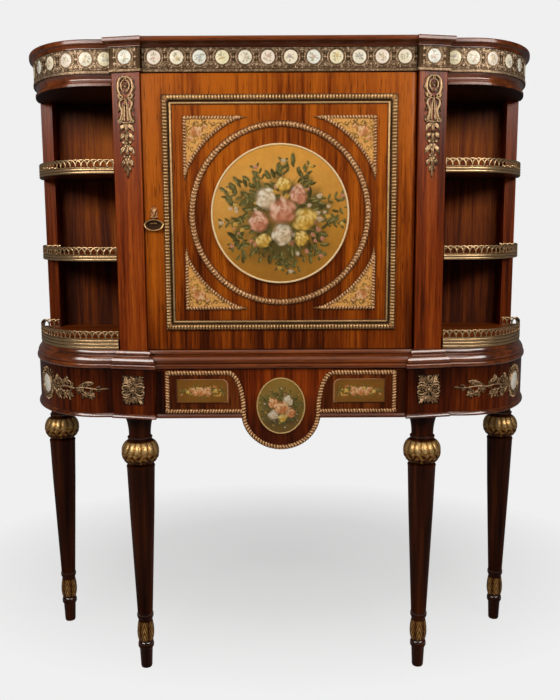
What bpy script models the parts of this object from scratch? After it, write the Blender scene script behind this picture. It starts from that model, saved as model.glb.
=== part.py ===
"""A D-ended side cabinet on four turned legs.

One door between two canted pilasters, three open shelves at each rounded end, a moulded
waist and apron, bronze mounts and painted plaques. Units are metres, +Z is up, the front
faces -Y, and the origin is on the floor under the middle of the cabinet.
"""
import math

import bmesh
import bpy
from mathutils import Matrix, Vector

# Heights, from the floor up
APRON_BOTTOM = 0.5535
APRON_HEIGHT = 0.0935
WAIST_HEIGHT = 0.0350
CASE_HEIGHT = 0.5263
FRIEZE_HEIGHT = 0.0452
CORNICE_HEIGHT = 0.0165

# Plan of the upper case: depths are measured forward from the back
CENTRE_DEPTH = 0.2830
BLOCK_BREAK = 0.0115
END_DEPTH = 0.2685
END_STRAIGHT = 0.0400
END_WIDTH = 0.1650
CANT_DEGREES = 12.0

# How far the lower case stands out from the upper one
LOWER_CENTRE = 0.0120
LOWER_BLOCK = 0.0105
LOWER_END = 0.0145

# Cornice and waist projections beyond the faces under them
CORNICE_CENTRE = 0.0210
CORNICE_BLOCK = 0.0135
CORNICE_END = 0.0080
WAIST_LIP = 0.0045
WAIST_SETBACK = 0.0065
BEAD_LIP = 0.0045
BEAD_HEIGHT = 0.0085
SOFFIT_HEIGHT = 0.0223
SOFFIT_HOLLOW = 0.0085
WAIST_GROOVE = 0.0015
WAIST_TORUS = 0.0025

# Case joinery
DOOR_WIDTH = 0.5210
DOOR_THICKNESS = 0.0200
DOOR_SETBACK = 0.0010
DOOR_GAP = 0.0015
PILASTER_WIDTH = 0.0560
PILASTER_DEPTH = 0.0370
PILASTER_SETBACK = 0.0050
BLOCK_LIP = 0.0030
SIDE_THICKNESS = 0.0180
BACK_THICKNESS = 0.0120
POST_WIDTH = 0.0240
POST_DEPTH = 0.0500
RAIL_THICKNESS = 0.0200
CEILING_THICKNESS = 0.0140

# End shelves and the cupboard shelf; tops are measured from the waist
BASE_SHELF_TOP = 0.0198
LOWER_SHELF_TOP = 0.1842
UPPER_SHELF_TOP = 0.3522
SHELF_THICKNESS = 0.0105
SHELF_SETBACK = 0.0060
INNER_SHELF_TOP = 0.2500
INNER_SHELF_THICKNESS = 0.0140
INNER_SHELF_SETBACK = 0.0150
SHELF_HOUSING = 0.0050

# Brass rims and galleries
RIM_THICKNESS = 0.0035
GALLERY_THICKNESS = 0.0015
GALLERY_HEIGHT = 0.0165
BASE_RIM_OUT = 0.0090

# Legs: heights of the foot are from the floor, those of the head from the apron
LEG_FRONT_DEPTH = 0.2520
LEG_INSHIFT = 0.0020
LEG_HEAD_DEPTH = 0.0760
REAR_LEG_INSET = 0.0365
REAR_LEG_BACK_INSET = 0.0390
LEG_TOP_RADIUS = 0.0360
LEG_COLLAR = 0.0040
NECK_RADIUS = 0.0220
NECK_DROP = 0.0500
KNOP_RADIUS = 0.0385
KNOP_DROP = 0.0840
KNOP_HALF = 0.0270
KNOP_SPREAD_DEGREES = 62.0
KNOP_FULLNESS = 0.6
FILLET = 0.0022
SHAFT_TOP_RADIUS = 0.0285
SHAFT_BOTTOM_RADIUS = 0.0155
BULB_TOP = 0.1280
BULB_RADIUS = 0.0172
BULB_SHOULDER = 0.0220
RING_TOP = 0.0500
TOE_HEIGHT = 0.0420
TOE_RADIUS = 0.0130
FOOT_RADIUS = 0.0095

# Frieze bronze
BAND_THICKNESS = 0.0022

# Door dress: each ring of it stands a margin inside the one before
STILE_WIDTH = 0.0370
FRAME_WIDTH = 0.0190
FRAME_HEIGHT = 0.0080
RING_MARGIN = 0.0290
RING_WIDTH = 0.0125
RING_HEIGHT = 0.0060
MEDALLION_MARGIN = 0.0305
MEDALLION_HEIGHT = 0.0120
MEDALLION_RIM = 0.0055
SPANDREL_MARGIN = 0.0205
SPANDREL_GAP = 0.0190
SPANDREL_HEIGHT = 0.0045

# Drop pull
PULL_BELOW_MIDDLE = 0.0055
CREST_WIDTH = 0.0140
CREST_HEIGHT = 0.0240
CREST_TAIL = 0.0040
CREST_THICKNESS = 0.0030
PULL_SIDE_GAP = 0.0005
PULL_HEIGHT = 0.0220
PULL_THICKNESS = 0.0040
PULL_PIN_RADIUS = 0.0011
PULL_PIN_STANDOFF = 0.0082
PULL_EYE_RADIUS = 0.0026
PULL_EYE_WIDTH = 0.0050
PULL_NECK = 0.0034
CHEEK_WIDTH = 0.0016

# Centre hinges and catch
HINGE_LENGTH = 0.0360
HINGE_WIDTH = 0.0120
HINGE_PLATE = 0.0025
HINGE_PIN_RADIUS = 0.0025
HINGE_PIN_LENGTH = 0.0055
CATCH_HEIGHT = 0.0400
CATCH_WIDTH = 0.0100
CATCH_DEPTH = 0.0180
CATCH_PLATE = 0.0016
CATCH_TOP = 0.3600

# Apron dress
PENDANT_HALF_WIDTH = 0.0735
PENDANT_DROP = 0.0695
PENDANT_FLARE = 0.0300
PENDANT_SPRING = 0.0040
APRON_BEAD_WIDTH = 0.0080
APRON_BEAD_HEIGHT = 0.0040
APRON_BEAD_EDGE = 0.0048
PENDANT_MARGIN = 0.0010
PANEL_END_MARGIN = 0.0215
PLAQUE_MARGIN = 0.0170
PLAQUE_THICKNESS = 0.0030
PLAQUE_INNER_GAP = 0.0195
PLAQUE_CORNER = 0.0120
PENDANT_OVAL_WIDTH = 0.0970
PENDANT_OVAL_HEIGHT = 0.1140
PENDANT_OVAL_DOME = 0.0060
PENDANT_OVAL_RIM = 0.0025
PENDANT_OVAL_Z = 0.0185

# Bronze mounts
MOUNT_LENGTH = 0.1890
MOUNT_WIDTH = 0.0340
MOUNT_THICKNESS = 0.0050
MOUNT_DROP = 0.0048
ROSETTE_WIDTH = 0.0440
ROSETTE_HEIGHT = 0.0620
ROSETTE_THICKNESS = 0.0040
ROSETTE_BOSS_RADIUS = 0.0120
ROSETTE_BOSS_HEIGHT = 0.0050
END_MOUNT_HEIGHT = 0.0660
END_MOUNT_SPRAY = 0.0280
END_MOUNT_THICKNESS = 0.0045
END_MOUNT_STEM = 0.0040
END_MOUNT_CHORDS = 9

# Fits and fineness
GAP = 0.0003
PIN_CLEARANCE = 0.0002
END_STEPS = 12
LEG_STEPS = 18
ROUND_STEPS = 40
SMALL_STEPS = 14

# Derived angles
CANT = math.radians(CANT_DEGREES)
KNOP_SPREAD = math.radians(KNOP_SPREAD_DEGREES)

# Derived heights
WAIST_Z = APRON_BOTTOM + APRON_HEIGHT
CASE_Z = WAIST_Z + WAIST_HEIGHT
FRIEZE_Z = CASE_Z + CASE_HEIGHT
CORNICE_Z = FRIEZE_Z + FRIEZE_HEIGHT
TOP_Z = CORNICE_Z + CORNICE_HEIGHT

# Derived plan, shared by everything that lines up
PILASTER_IN = DOOR_WIDTH / 2 + DOOR_GAP
PILASTER_OUT = PILASTER_IN + PILASTER_WIDTH * math.cos(CANT)
BLOCK_IN = PILASTER_IN - BLOCK_LIP
BLOCK_OUT = PILASTER_OUT + BLOCK_LIP
BLOCK_DEPTH = CENTRE_DEPTH + BLOCK_BREAK
FRONT_REACH = BLOCK_DEPTH + max(CORNICE_BLOCK, LOWER_BLOCK + WAIST_LIP) * (1 + math.tan(CANT))
BACK = FRONT_REACH / 2
END_X = BLOCK_OUT + END_STRAIGHT
CORE_IN = BAND_THICKNESS + GAP
SIDE_OUT = PILASTER_IN + SIDE_THICKNESS
PANEL_FRONT = BACK - BACK_THICKNESS
POST_FRONT = BACK - POST_DEPTH

DOOR_FRONT = BACK - CENTRE_DEPTH + DOOR_SETBACK
DOOR_BACK = DOOR_FRONT + DOOR_THICKNESS
DOOR_LOW = CASE_Z + DOOR_GAP
DOOR_HIGH = FRIEZE_Z - DOOR_GAP
DOOR_MID_Z = (DOOR_LOW + DOOR_HIGH) / 2
FRAME_SIZE = min(DOOR_WIDTH, DOOR_HIGH - DOOR_LOW) - 2 * STILE_WIDTH
RING_RADIUS = FRAME_SIZE / 2 - FRAME_WIDTH - RING_MARGIN
MEDALLION_RADIUS = RING_RADIUS - RING_WIDTH - MEDALLION_MARGIN
PULL_WIDTH = STILE_WIDTH - 2 * PULL_SIDE_GAP
HINGE_X = DOOR_WIDTH / 2 - DOOR_THICKNESS / 2
HINGE_Y = DOOR_FRONT + DOOR_THICKNESS / 2

APRON_FACE = BACK - CENTRE_DEPTH - LOWER_CENTRE
HEAD_IN = BLOCK_IN - LOWER_BLOCK
HEAD_OUT = BLOCK_OUT + LOWER_BLOCK
HEAD_X = (HEAD_IN + HEAD_OUT) / 2
FRONT_LEG_X = HEAD_X - LEG_INSHIFT
FRONT_LEG_Y = BACK - LEG_FRONT_DEPTH
REAR_LEG_X = END_X + END_WIDTH + LOWER_END - REAR_LEG_INSET
REAR_LEG_Y = BACK - REAR_LEG_BACK_INSET
SIDES = {"left": -1.0, "right": 1.0}

for old in list(bpy.data.objects):
    bpy.data.objects.remove(old)

PARTS = bpy.data.collections.new("d_ended_cabinet")
CUTTERS = bpy.data.collections.new("cutters")
bpy.context.scene.collection.children.link(PARTS)
bpy.context.scene.collection.children.link(CUTTERS)


def make_material(name, colour, roughness, metallic):
    """A Principled material of one colour."""
    made = bpy.data.materials.new(name)
    made.use_nodes = True
    shader = made.node_tree.nodes["Principled BSDF"]
    shader.inputs["Base Color"].default_value = (*colour, 1.0)
    shader.inputs["Roughness"].default_value = roughness
    shader.inputs["Metallic"].default_value = metallic
    return made


MAHOGANY = make_material("mahogany", (0.30, 0.09, 0.025), 0.30, 0.0)
DARK_WOOD = make_material("dark_wood", (0.09, 0.025, 0.012), 0.30, 0.0)
BRONZE = make_material("bronze", (0.32, 0.22, 0.11), 0.38, 1.0)
PORCELAIN = make_material("porcelain", (0.52, 0.32, 0.09), 0.18, 0.0)
STEEL = make_material("steel", (0.45, 0.45, 0.46), 0.35, 1.0)
BROWN_PLASTIC = make_material("brown_plastic", (0.06, 0.03, 0.02), 0.50, 0.0)


def place(name, mesh, material, collection=PARTS):
    """Put a mesh in the scene as a named, shaded object."""
    made = bpy.data.objects.new(name, mesh)
    mesh.materials.append(material)
    mesh.shade_smooth()
    mesh.set_sharp_from_angle(angle=math.radians(35))
    collection.objects.link(made)
    return made


def finish(name, bm, material, collection=PARTS):
    """Close a bmesh into an object, with its faces turned outwards."""
    bmesh.ops.remove_doubles(bm, verts=bm.verts, dist=1e-6)
    bmesh.ops.recalc_face_normals(bm, faces=bm.faces)
    mesh = bpy.data.meshes.new(name)
    bm.to_mesh(mesh)
    bm.free()
    return place(name, mesh, material, collection)


def as_cutter(made):
    """Keep an object out of the finished model, as a Boolean's tool."""
    made.hide_render = True
    made.display_type = "WIRE"
    return made


def box(name, low, high, material, collection=PARTS):
    """A box between two corners."""
    low, high = Vector(low), Vector(high)
    bm = bmesh.new()
    bmesh.ops.create_cube(bm, size=1.0)
    size = high - low
    bmesh.ops.scale(bm, vec=size, verts=bm.verts)
    bmesh.ops.translate(bm, vec=low + size / 2, verts=bm.verts)
    return finish(name, bm, material, collection)


def loft(name, rings, material, ring_closed=True, ends="cap", collection=PARTS):
    """Skin a run of point rings; the ends are capped, or joined into a frame."""
    bm = bmesh.new()
    rows = [[bm.verts.new(point) for point in ring] for ring in rings]
    count = len(rows[0])
    spans = count if ring_closed else count - 1
    pairs = list(zip(rows, rows[1:]))
    if ends == "join":
        pairs.append((rows[-1], rows[0]))
    for lower, upper in pairs:
        for i in range(spans):
            j = (i + 1) % count
            bm.faces.new((lower[i], lower[j], upper[j], upper[i]))
    if ends == "cap":
        bm.faces.new(rows[0][::-1])
        bm.faces.new(rows[-1])
    return finish(name, bm, material, collection)


def boolean(made, tool, operation):
    """Cut or join a tool into an object, and keep the tool among the cutters."""
    for collection in tool.users_collection:
        collection.objects.unlink(tool)
    CUTTERS.objects.link(as_cutter(tool))
    modifier = made.modifiers.new(operation.lower(), "BOOLEAN")
    modifier.operation = operation
    modifier.solver = "EXACT"
    modifier.object = tool
    return made


def turned(name, profile, material, steps, collection=PARTS):
    """A turned piece: (radius, height) points from the top down, spun about Z."""
    mesh = bpy.data.meshes.new(name)
    points = [(radius, 0.0, height) for radius, height in profile]
    mesh.from_pydata(points, [(i, i + 1) for i in range(len(points) - 1)], [])
    made = place(name, mesh, material, collection)
    screw = made.modifiers.new("turn", "SCREW")
    screw.steps = steps
    screw.render_steps = steps
    screw.use_merge_vertices = True
    screw.merge_threshold = 1e-5
    return made


def flat_plate(name, outlines, thickness, material, turn=None, collection=PARTS):
    """A plate cut from closed outlines (the later ones are holes), extruded along Z, then turned."""
    curve = bpy.data.curves.new(name, "CURVE")
    curve.dimensions = "2D"
    curve.fill_mode = "BOTH"
    curve.extrude = thickness / 2
    for outline in outlines:
        spline = curve.splines.new("POLY")
        spline.points.add(len(outline) - 1)
        for point, (u, v) in zip(spline.points, outline):
            point.co = (u, v, 0.0, 1.0)
        spline.use_cyclic_u = True
    shape = bpy.data.objects.new(name + "_outline", curve)
    bpy.context.scene.collection.objects.link(shape)
    graph = bpy.context.evaluated_depsgraph_get()
    mesh = bpy.data.meshes.new_from_object(shape.evaluated_get(graph))
    bpy.data.objects.remove(shape)
    bm = bmesh.new()
    bm.from_mesh(mesh)
    bpy.data.meshes.remove(mesh)
    if turn is not None:
        bmesh.ops.transform(bm, matrix=turn, verts=bm.verts)
    return finish(name, bm, material, collection)


def facing_front(x, y, z):
    """A plate drawn in (x, up) that lies on a front face: its back is at y, its own up is +Z."""
    return Matrix.Translation((x, y, z)) @ Matrix.Rotation(math.radians(90), 4, "X")


def arc(centre, radii, start, end, steps):
    """Points along an elliptical arc, angles in degrees."""
    points = []
    for i in range(steps + 1):
        angle = math.radians(start + (end - start) * i / steps)
        points.append((centre[0] + radii[0] * math.cos(angle), centre[1] + radii[1] * math.sin(angle)))
    return points


def circle(radius, steps):
    """A ring of points in (x, z) about the origin."""
    return [(radius * math.cos(2 * math.pi * i / steps), radius * math.sin(2 * math.pi * i / steps))
            for i in range(steps)]


# Plan curves of the case
def block_line(x, projection):
    """Y of the canted block face at x, moved out by a projection."""
    return BACK - BLOCK_DEPTH - projection + (x - BLOCK_IN) * math.tan(CANT)


def end_point(projection, share):
    """A point of the rounded end at a share of the quarter turn from its front tangent."""
    angle = math.pi / 2 * share
    return (END_X + (END_WIDTH + projection) * math.sin(angle),
            BACK - (END_DEPTH + projection) * math.cos(angle))


def chord_point(projection, share):
    """A point at a share of the rounded end, on the chords that the case is built from."""
    step = min(int(share * END_STEPS), END_STEPS - 1)
    near = Vector(end_point(projection, step / END_STEPS))
    far = Vector(end_point(projection, (step + 1) / END_STEPS))
    return tuple(near.lerp(far, share * END_STEPS - step))


def end_curve(projection, stop_y):
    """The rounded end from its front tangent back to stop_y, in chords that all projections share."""
    stop_share = math.acos((BACK - stop_y) / END_DEPTH) / (math.pi / 2)
    last = math.ceil(stop_share * END_STEPS - 0.3)
    points = [end_point(projection, i / END_STEPS) for i in range(last + 1)]
    (x0, y0), (x1, y1) = points[-2:]
    points[-1] = (x0 + (x1 - x0) * (stop_y - y0) / (y1 - y0), stop_y)
    return points


def end_curve_x(projection, y):
    """X of the rounded end at a given y, on the same chords."""
    return end_curve(projection, y)[-1][0]


def half_outline(centre, block, end):
    """Right half of the case plan from the middle to the back, for three projections."""
    inner = BLOCK_IN - block
    outer = BLOCK_OUT + block
    front = [(inner, BACK - CENTRE_DEPTH - centre), (inner, block_line(inner, block)),
             (outer, block_line(outer, block)), (outer, BACK - END_DEPTH - end)]
    return front + end_curve(end, BACK)


def mirrored(points):
    """The same points on the other side, in the opposite order."""
    return [(-x, y) for x, y in reversed(points)]


def whole_outline(centre, block, end):
    """The case plan as one run from the left back corner round the front to the right one."""
    right = half_outline(centre, block, end)
    return mirrored(right) + right


def at_height(points, z):
    return [(x, y, z) for x, y in points]


def on_side(rings, side):
    """Move rings made for the right-hand side to either side."""
    return [[(x * side, y, z) for x, y, z in ring] for ring in rings]


def end_board(projection):
    """Plan of a board that fills one rounded end: it clears the pilaster, the case side and the post."""
    start = BLOCK_OUT + GAP
    inner = SIDE_OUT + GAP
    pilaster_back = BACK - CENTRE_DEPTH + PILASTER_DEPTH + GAP
    front = [(start, BACK - END_DEPTH - projection)] + end_curve(projection, POST_FRONT - GAP)
    post_in = POST_OUT - POST_WIDTH - GAP
    back = [(post_in, POST_FRONT - GAP), (post_in, PANEL_FRONT - GAP), (inner, PANEL_FRONT - GAP)]
    return front + back + [(inner, pilaster_back), (start, pilaster_back)]


POST_OUT = end_curve_x(-SHELF_SETBACK, POST_FRONT)


# Top, frieze and waist
def make_top_board():
    levels = [(0.00, 0.00), (0.12, 0.16), (0.62, 0.46), (0.86, 0.48), (0.97, 0.58), (1.00, 0.74),
              (0.96, 0.90), (0.84, 1.00)]
    rings = []
    for out, up in levels:
        plan = whole_outline(CORNICE_CENTRE * out, CORNICE_BLOCK * out, CORNICE_END * out)
        rings.append(at_height(plan, CORNICE_Z + CORNICE_HEIGHT * up))
    loft("top_board", rings, MAHOGANY)


def make_frieze_rail():
    """The centre rail, with the cupboard's ceiling behind it as one L-shaped piece."""
    half = BLOCK_IN - GAP
    front = BACK - CENTRE_DEPTH + CORE_IN
    rail_back = front + RAIL_THICKNESS
    low, high = FRIEZE_Z, CORNICE_Z - GAP
    section = [(front, low), (PANEL_FRONT - GAP, low), (PANEL_FRONT - GAP, low + CEILING_THICKNESS),
               (rail_back, low + CEILING_THICKNESS), (rail_back, high), (front, high)]
    rail = loft("frieze_rail", [[(x, y, z) for y, z in section] for x in (-half, half)], MAHOGANY)
    boolean(rail, hinge_pocket("frieze_pocket", FRIEZE_Z, 1), "DIFFERENCE")


def make_frieze_end(word, side):
    foot = FRIEZE_Z - SOFFIT_HEIGHT
    shape = [(0.00, 0.47), (0.045, 0.24), (0.27, 0.24), (0.34, 0.53), (0.58, 1.00), (0.81, 0.88),
             (0.955, 0.47)]
    levels = [(foot + SOFFIT_HEIGHT * up, -SOFFIT_HOLLOW * back) for up, back in shape]
    levels += [(FRIEZE_Z, -CORE_IN), (CORNICE_Z - GAP, -CORE_IN)]
    rings = [at_height(end_board(out), z) for z, out in levels]
    loft("frieze_end_" + word, on_side(rings, side), MAHOGANY)


def make_frieze_band():
    """One strip of bronze along the whole frieze."""
    low, high = FRIEZE_Z + GAP, CORNICE_Z - GAP
    corners = [(-BAND_THICKNESS, low), (0.0, low), (0.0, high), (-BAND_THICKNESS, high)]
    plans = [(whole_outline(out, out, out), z) for out, z in corners]
    count = len(plans[0][0])
    rings = [[(plan[i][0], plan[i][1], z) for plan, z in plans] for i in range(count)]
    loft("frieze_band", rings, BRONZE)


def make_waist_board():
    groove = -WAIST_SETBACK - WAIST_GROOVE
    torus = WAIST_TORUS - WAIST_LIP / 4
    levels = [(WAIST_LIP / 2, 0.00), (WAIST_LIP, 0.04), (WAIST_LIP, 0.24), (0.0, 0.30),
              (torus - WAIST_TORUS, 0.36), (torus, 0.50), (torus - WAIST_TORUS, 0.66), (groove, 0.72),
              (groove, 0.80), (-WAIST_SETBACK, 0.82), (-WAIST_SETBACK, 1.00)]
    rings = []
    for out, up in levels:
        plan = whole_outline(LOWER_CENTRE + out, LOWER_BLOCK + out, LOWER_END + out)
        rings.append(at_height(plan, WAIST_Z + WAIST_HEIGHT * up))
    board = loft("waist_board", rings, MAHOGANY)
    boolean(board, hinge_pocket("waist_pocket", CASE_Z, -1), "DIFFERENCE")


# Uprights
def make_pilaster(word, side):
    """A canted upright, with the wider frieze block at its head."""
    back = BACK - CENTRE_DEPTH + PILASTER_DEPTH
    block_in = BLOCK_IN + CORE_IN
    block_out = BLOCK_OUT - CORE_IN

    def section(inner, outer, projection, z):
        return [(inner, block_line(inner, projection), z), (outer, block_line(outer, projection), z),
                (outer, back, z), (inner, back, z)]

    rings = [section(PILASTER_IN, PILASTER_OUT, -PILASTER_SETBACK, CASE_Z + GAP),
             section(PILASTER_IN, PILASTER_OUT, -PILASTER_SETBACK, FRIEZE_Z),
             section(block_in, block_out, -CORE_IN, FRIEZE_Z),
             section(block_in, block_out, -CORE_IN, CORNICE_Z - GAP)]
    loft("pilaster_" + word, on_side(rings, side), MAHOGANY)


def make_case_side(word, side):
    front = BACK - CENTRE_DEPTH + PILASTER_DEPTH + GAP
    xs = sorted((side * PILASTER_IN, side * SIDE_OUT))
    wall = box("case_side_" + word, (xs[0], front, CASE_Z + GAP), (xs[1], PANEL_FRONT - GAP, CORNICE_Z - GAP),
               MAHOGANY)
    low = CASE_Z + INNER_SHELF_TOP - INNER_SHELF_THICKNESS - GAP
    high = CASE_Z + INNER_SHELF_TOP + GAP
    depth = sorted((side * (PILASTER_IN - SHELF_HOUSING), side * (PILASTER_IN + SHELF_HOUSING + GAP)))
    housing = box("housing_" + word, (depth[0], shelf_front() - GAP, low), (depth[1], BACK, high),
                  MAHOGANY, CUTTERS)
    boolean(wall, housing, "DIFFERENCE")


def shelf_front():
    return BACK - CENTRE_DEPTH + PILASTER_DEPTH + INNER_SHELF_SETBACK


def make_back():
    inner = POST_OUT - POST_WIDTH - GAP
    box("back_panel", (-inner, PANEL_FRONT, CASE_Z + GAP), (inner, BACK, CORNICE_Z - GAP), MAHOGANY)
    for word, side in SIDES.items():
        xs = sorted((side * (POST_OUT - POST_WIDTH), side * POST_OUT))
        box("back_post_" + word, (xs[0], POST_FRONT, CASE_Z + GAP), (xs[1], BACK, CORNICE_Z - GAP), MAHOGANY)


# Shelves and galleries
def make_end_shelf(name, side, top, thickness, projection):
    rings = [at_height(end_board(projection), CASE_Z + top - thickness),
             at_height(end_board(projection), CASE_Z + top)]
    loft(name, on_side(rings, side), MAHOGANY)


def make_gallery(name, side, low, rim_top, rim_in, rim_out):
    """A brass rim round a shelf's edge, with a thin gallery standing on it."""
    high = rim_top + GALLERY_HEIGHT
    wall_out = rim_out - GALLERY_THICKNESS / 2
    wall_in = wall_out - GALLERY_THICKNESS
    section = [(rim_in, low), (rim_out, low), (rim_out, rim_top), (wall_out, rim_top), (wall_out, high),
               (wall_in, high), (wall_in, rim_top), (rim_in, rim_top)]
    start = BLOCK_OUT + GAP
    runs = []
    for out, z in section:
        path = [(start, BACK - END_DEPTH - out)] + end_curve(out, POST_FRONT - GAP)
        runs.append(at_height(path, z))
    rings = [[run[i] for run in runs] for i in range(len(runs[0]))]
    loft(name, on_side(rings, side), BRONZE)


def make_end_shelves():
    rim_in = -SHELF_SETBACK + GAP
    for word, side in SIDES.items():
        for level, top in (("upper", UPPER_SHELF_TOP), ("lower", LOWER_SHELF_TOP)):
            make_end_shelf("end_shelf_" + level + "_" + word, side, top, SHELF_THICKNESS, -SHELF_SETBACK)
            make_gallery("gallery_" + level + "_" + word, side, CASE_Z + top - SHELF_THICKNESS,
                         CASE_Z + top, rim_in, rim_in + RIM_THICKNESS)
        base_in = BASE_RIM_OUT - RIM_THICKNESS
        make_end_shelf("base_shelf_" + word, side, BASE_SHELF_TOP, BASE_SHELF_TOP - GAP, base_in - GAP)
        make_gallery("gallery_base_" + word, side, CASE_Z + GAP, CASE_Z + BASE_SHELF_TOP, base_in,
                     BASE_RIM_OUT)


def make_inner_shelf():
    half = PILASTER_IN + SHELF_HOUSING
    box("inner_shelf", (-half, shelf_front(), CASE_Z + INNER_SHELF_TOP - INNER_SHELF_THICKNESS),
        (half, PANEL_FRONT - 2 * GAP, CASE_Z + INNER_SHELF_TOP), MAHOGANY)


# Apron and legs
def leg_profile():
    """Half outline of the turning, from inside the head down to the floor."""
    top = APRON_BOTTOM
    collar = top - LEG_COLLAR
    knop = top - KNOP_DROP
    root = top + BEAD_HEIGHT / 2
    points = [(0.0, root), (LEG_TOP_RADIUS, root), (LEG_TOP_RADIUS, collar)]
    hollow = LEG_TOP_RADIUS - NECK_RADIUS
    for i in range(1, 6):
        angle = math.radians(90 * i / 5)
        drop = (NECK_DROP - LEG_COLLAR) * (1 - math.cos(angle))
        points.append((LEG_TOP_RADIUS - hollow * math.sin(angle), collar - drop))
    points.append((NECK_RADIUS + LEG_COLLAR, top - NECK_DROP - LEG_COLLAR))
    for i in range(7):
        angle = KNOP_SPREAD * (1 - i / 3)
        rise = KNOP_HALF * math.sin(angle) / math.sin(KNOP_SPREAD)
        points.append((KNOP_RADIUS * math.cos(angle) ** KNOP_FULLNESS, knop + rise))
    shaft_top = knop - KNOP_HALF - FILLET
    points += [(SHAFT_TOP_RADIUS + FILLET, shaft_top + FILLET / 2), (SHAFT_TOP_RADIUS, shaft_top - FILLET)]
    points += [(SHAFT_BOTTOM_RADIUS, BULB_TOP), (BULB_RADIUS - FILLET / 2, BULB_TOP - FILLET)]
    points += [(BULB_RADIUS, BULB_TOP - BULB_SHOULDER), (BULB_RADIUS, RING_TOP + BULB_SHOULDER)]
    points += [(TOE_RADIUS + FILLET / 2, RING_TOP + FILLET / 2), (BULB_RADIUS - FILLET / 2, RING_TOP)]
    points += [(BULB_RADIUS - FILLET / 2, TOE_HEIGHT + FILLET / 2), (TOE_RADIUS, TOE_HEIGHT)]
    points += [(FOOT_RADIUS, 0.0), (0.0, 0.0)]
    return points


def head_rings(section):
    """A leg's square head, with the bead of the apron along its foot; section(out) is its plan."""
    low = APRON_BOTTOM
    high = WAIST_Z - GAP
    levels = [(low, BEAD_LIP * 0.5), (low + BEAD_HEIGHT * 0.25, BEAD_LIP),
              (low + BEAD_HEIGHT * 0.75, BEAD_LIP), (low + BEAD_HEIGHT, 0.0), (high, 0.0)]
    return [at_height(section(out), z) for z, out in levels]


def front_head(out):
    front_in = (HEAD_IN - out, block_line(HEAD_IN - out, LOWER_BLOCK + out))
    front_out = (HEAD_OUT + out, block_line(HEAD_OUT + out, LOWER_BLOCK + out))
    back = FRONT_LEG_Y + LEG_HEAD_DEPTH / 2
    return [front_in, front_out, (HEAD_OUT + out, back), (HEAD_IN - out, back)]


def rear_head(out):
    front = REAR_LEG_Y - LEG_HEAD_DEPTH / 2
    inner = REAR_LEG_X - LEG_HEAD_DEPTH / 2
    curve = [(end_curve_x(LOWER_END + out, y), y) for y in (front, (front + BACK) / 2, BACK)]
    return [(inner, front)] + curve + [(inner, BACK)]


def make_leg(name, x, y, side, head_section):
    head = loft(name, on_side(head_rings(head_section), side), DARK_WOOD)
    turning = turned(name + "_turning", leg_profile(), DARK_WOOD, LEG_STEPS)
    turning.location = (side * x, y, 0.0)
    boolean(head, turning, "UNION")


def make_legs():
    for word, side in SIDES.items():
        make_leg("leg_front_" + word, FRONT_LEG_X, FRONT_LEG_Y, side, front_head)
        make_leg("leg_rear_" + word, REAR_LEG_X, REAR_LEG_Y, side, rear_head)


def bead_section(thickness):
    """Section of an apron rail (out, z): flat face with a rounded bead along its foot."""
    low, high = APRON_BOTTOM, WAIST_Z - GAP
    return [(-thickness, low), (BEAD_LIP * 0.5, low), (BEAD_LIP, low + BEAD_HEIGHT * 0.25),
            (BEAD_LIP, low + BEAD_HEIGHT * 0.75), (0.0, low + BEAD_HEIGHT), (0.0, high), (-thickness, high)]


def make_apron_end(word, side):
    """The curved rail from the front leg's head to the rear one."""
    start = HEAD_OUT + BEAD_LIP + GAP
    stop = REAR_LEG_Y - LEG_HEAD_DEPTH / 2 - GAP
    runs = []
    for out, z in bead_section(RAIL_THICKNESS):
        path = [(start, BACK - END_DEPTH - LOWER_END - out)] + end_curve(LOWER_END + out, stop)
        runs.append(at_height(path, z))
    rings = [[run[i] for run in runs] for i in range(len(runs[0]))]
    loft("apron_end_" + word, on_side(rings, side), MAHOGANY)


def pendant_side(out):
    """Right edge of the pendant, from the panel's top down to its lowest point, moved out by a margin."""
    spring = APRON_BOTTOM + PENDANT_SPRING
    rise = WAIST_Z - APRON_BEAD_EDGE - APRON_BEAD_WIDTH / 2 - spring
    flare = arc((PENDANT_HALF_WIDTH + PENDANT_FLARE, spring), (PENDANT_FLARE - out, rise - out), 90, 180, 8)
    bowl = arc((0.0, spring), (PENDANT_HALF_WIDTH + out, PENDANT_DROP + out), 0, -90, 10)
    return flare, bowl


def make_apron_centre():
    half = HEAD_IN - BEAD_LIP - GAP
    margin = APRON_BEAD_WIDTH / 2 + PENDANT_MARGIN
    bowl = [point for point in pendant_side(margin)[1] if point[1] < APRON_BOTTOM - 2 * GAP]
    start = (PENDANT_HALF_WIDTH + margin, APRON_BOTTOM - GAP)
    right = [(half, WAIST_Z - GAP), (half, APRON_BOTTOM), start] + bowl
    outline = right + mirrored(right[:-1])
    middle = APRON_FACE + RAIL_THICKNESS / 2
    board = flat_plate("apron_centre", [outline], RAIL_THICKNESS, MAHOGANY, facing_front(0, middle, 0))
    low = APRON_BOTTOM + GAP
    lip = [(GAP, low), (-BEAD_LIP * 0.5, low), (-BEAD_LIP, low + BEAD_HEIGHT * 0.25),
           (-BEAD_LIP, low + BEAD_HEIGHT * 0.75), (GAP, low + BEAD_HEIGHT - GAP)]
    for word, side in SIDES.items():
        ends = (side * (start[0] + GAP), side * (half - GAP))
        rings = [[(x, APRON_FACE + y, z) for y, z in lip] for x in ends]
        boolean(board, loft("apron_bead_bar_" + word, rings, MAHOGANY), "UNION")


def make_back_rail():
    half = REAR_LEG_X - LEG_HEAD_DEPTH / 2 - BEAD_LIP - GAP
    box("back_rail", (-half, BACK - RAIL_THICKNESS, APRON_BOTTOM), (half, BACK, WAIST_Z - GAP), DARK_WOOD)


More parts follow.
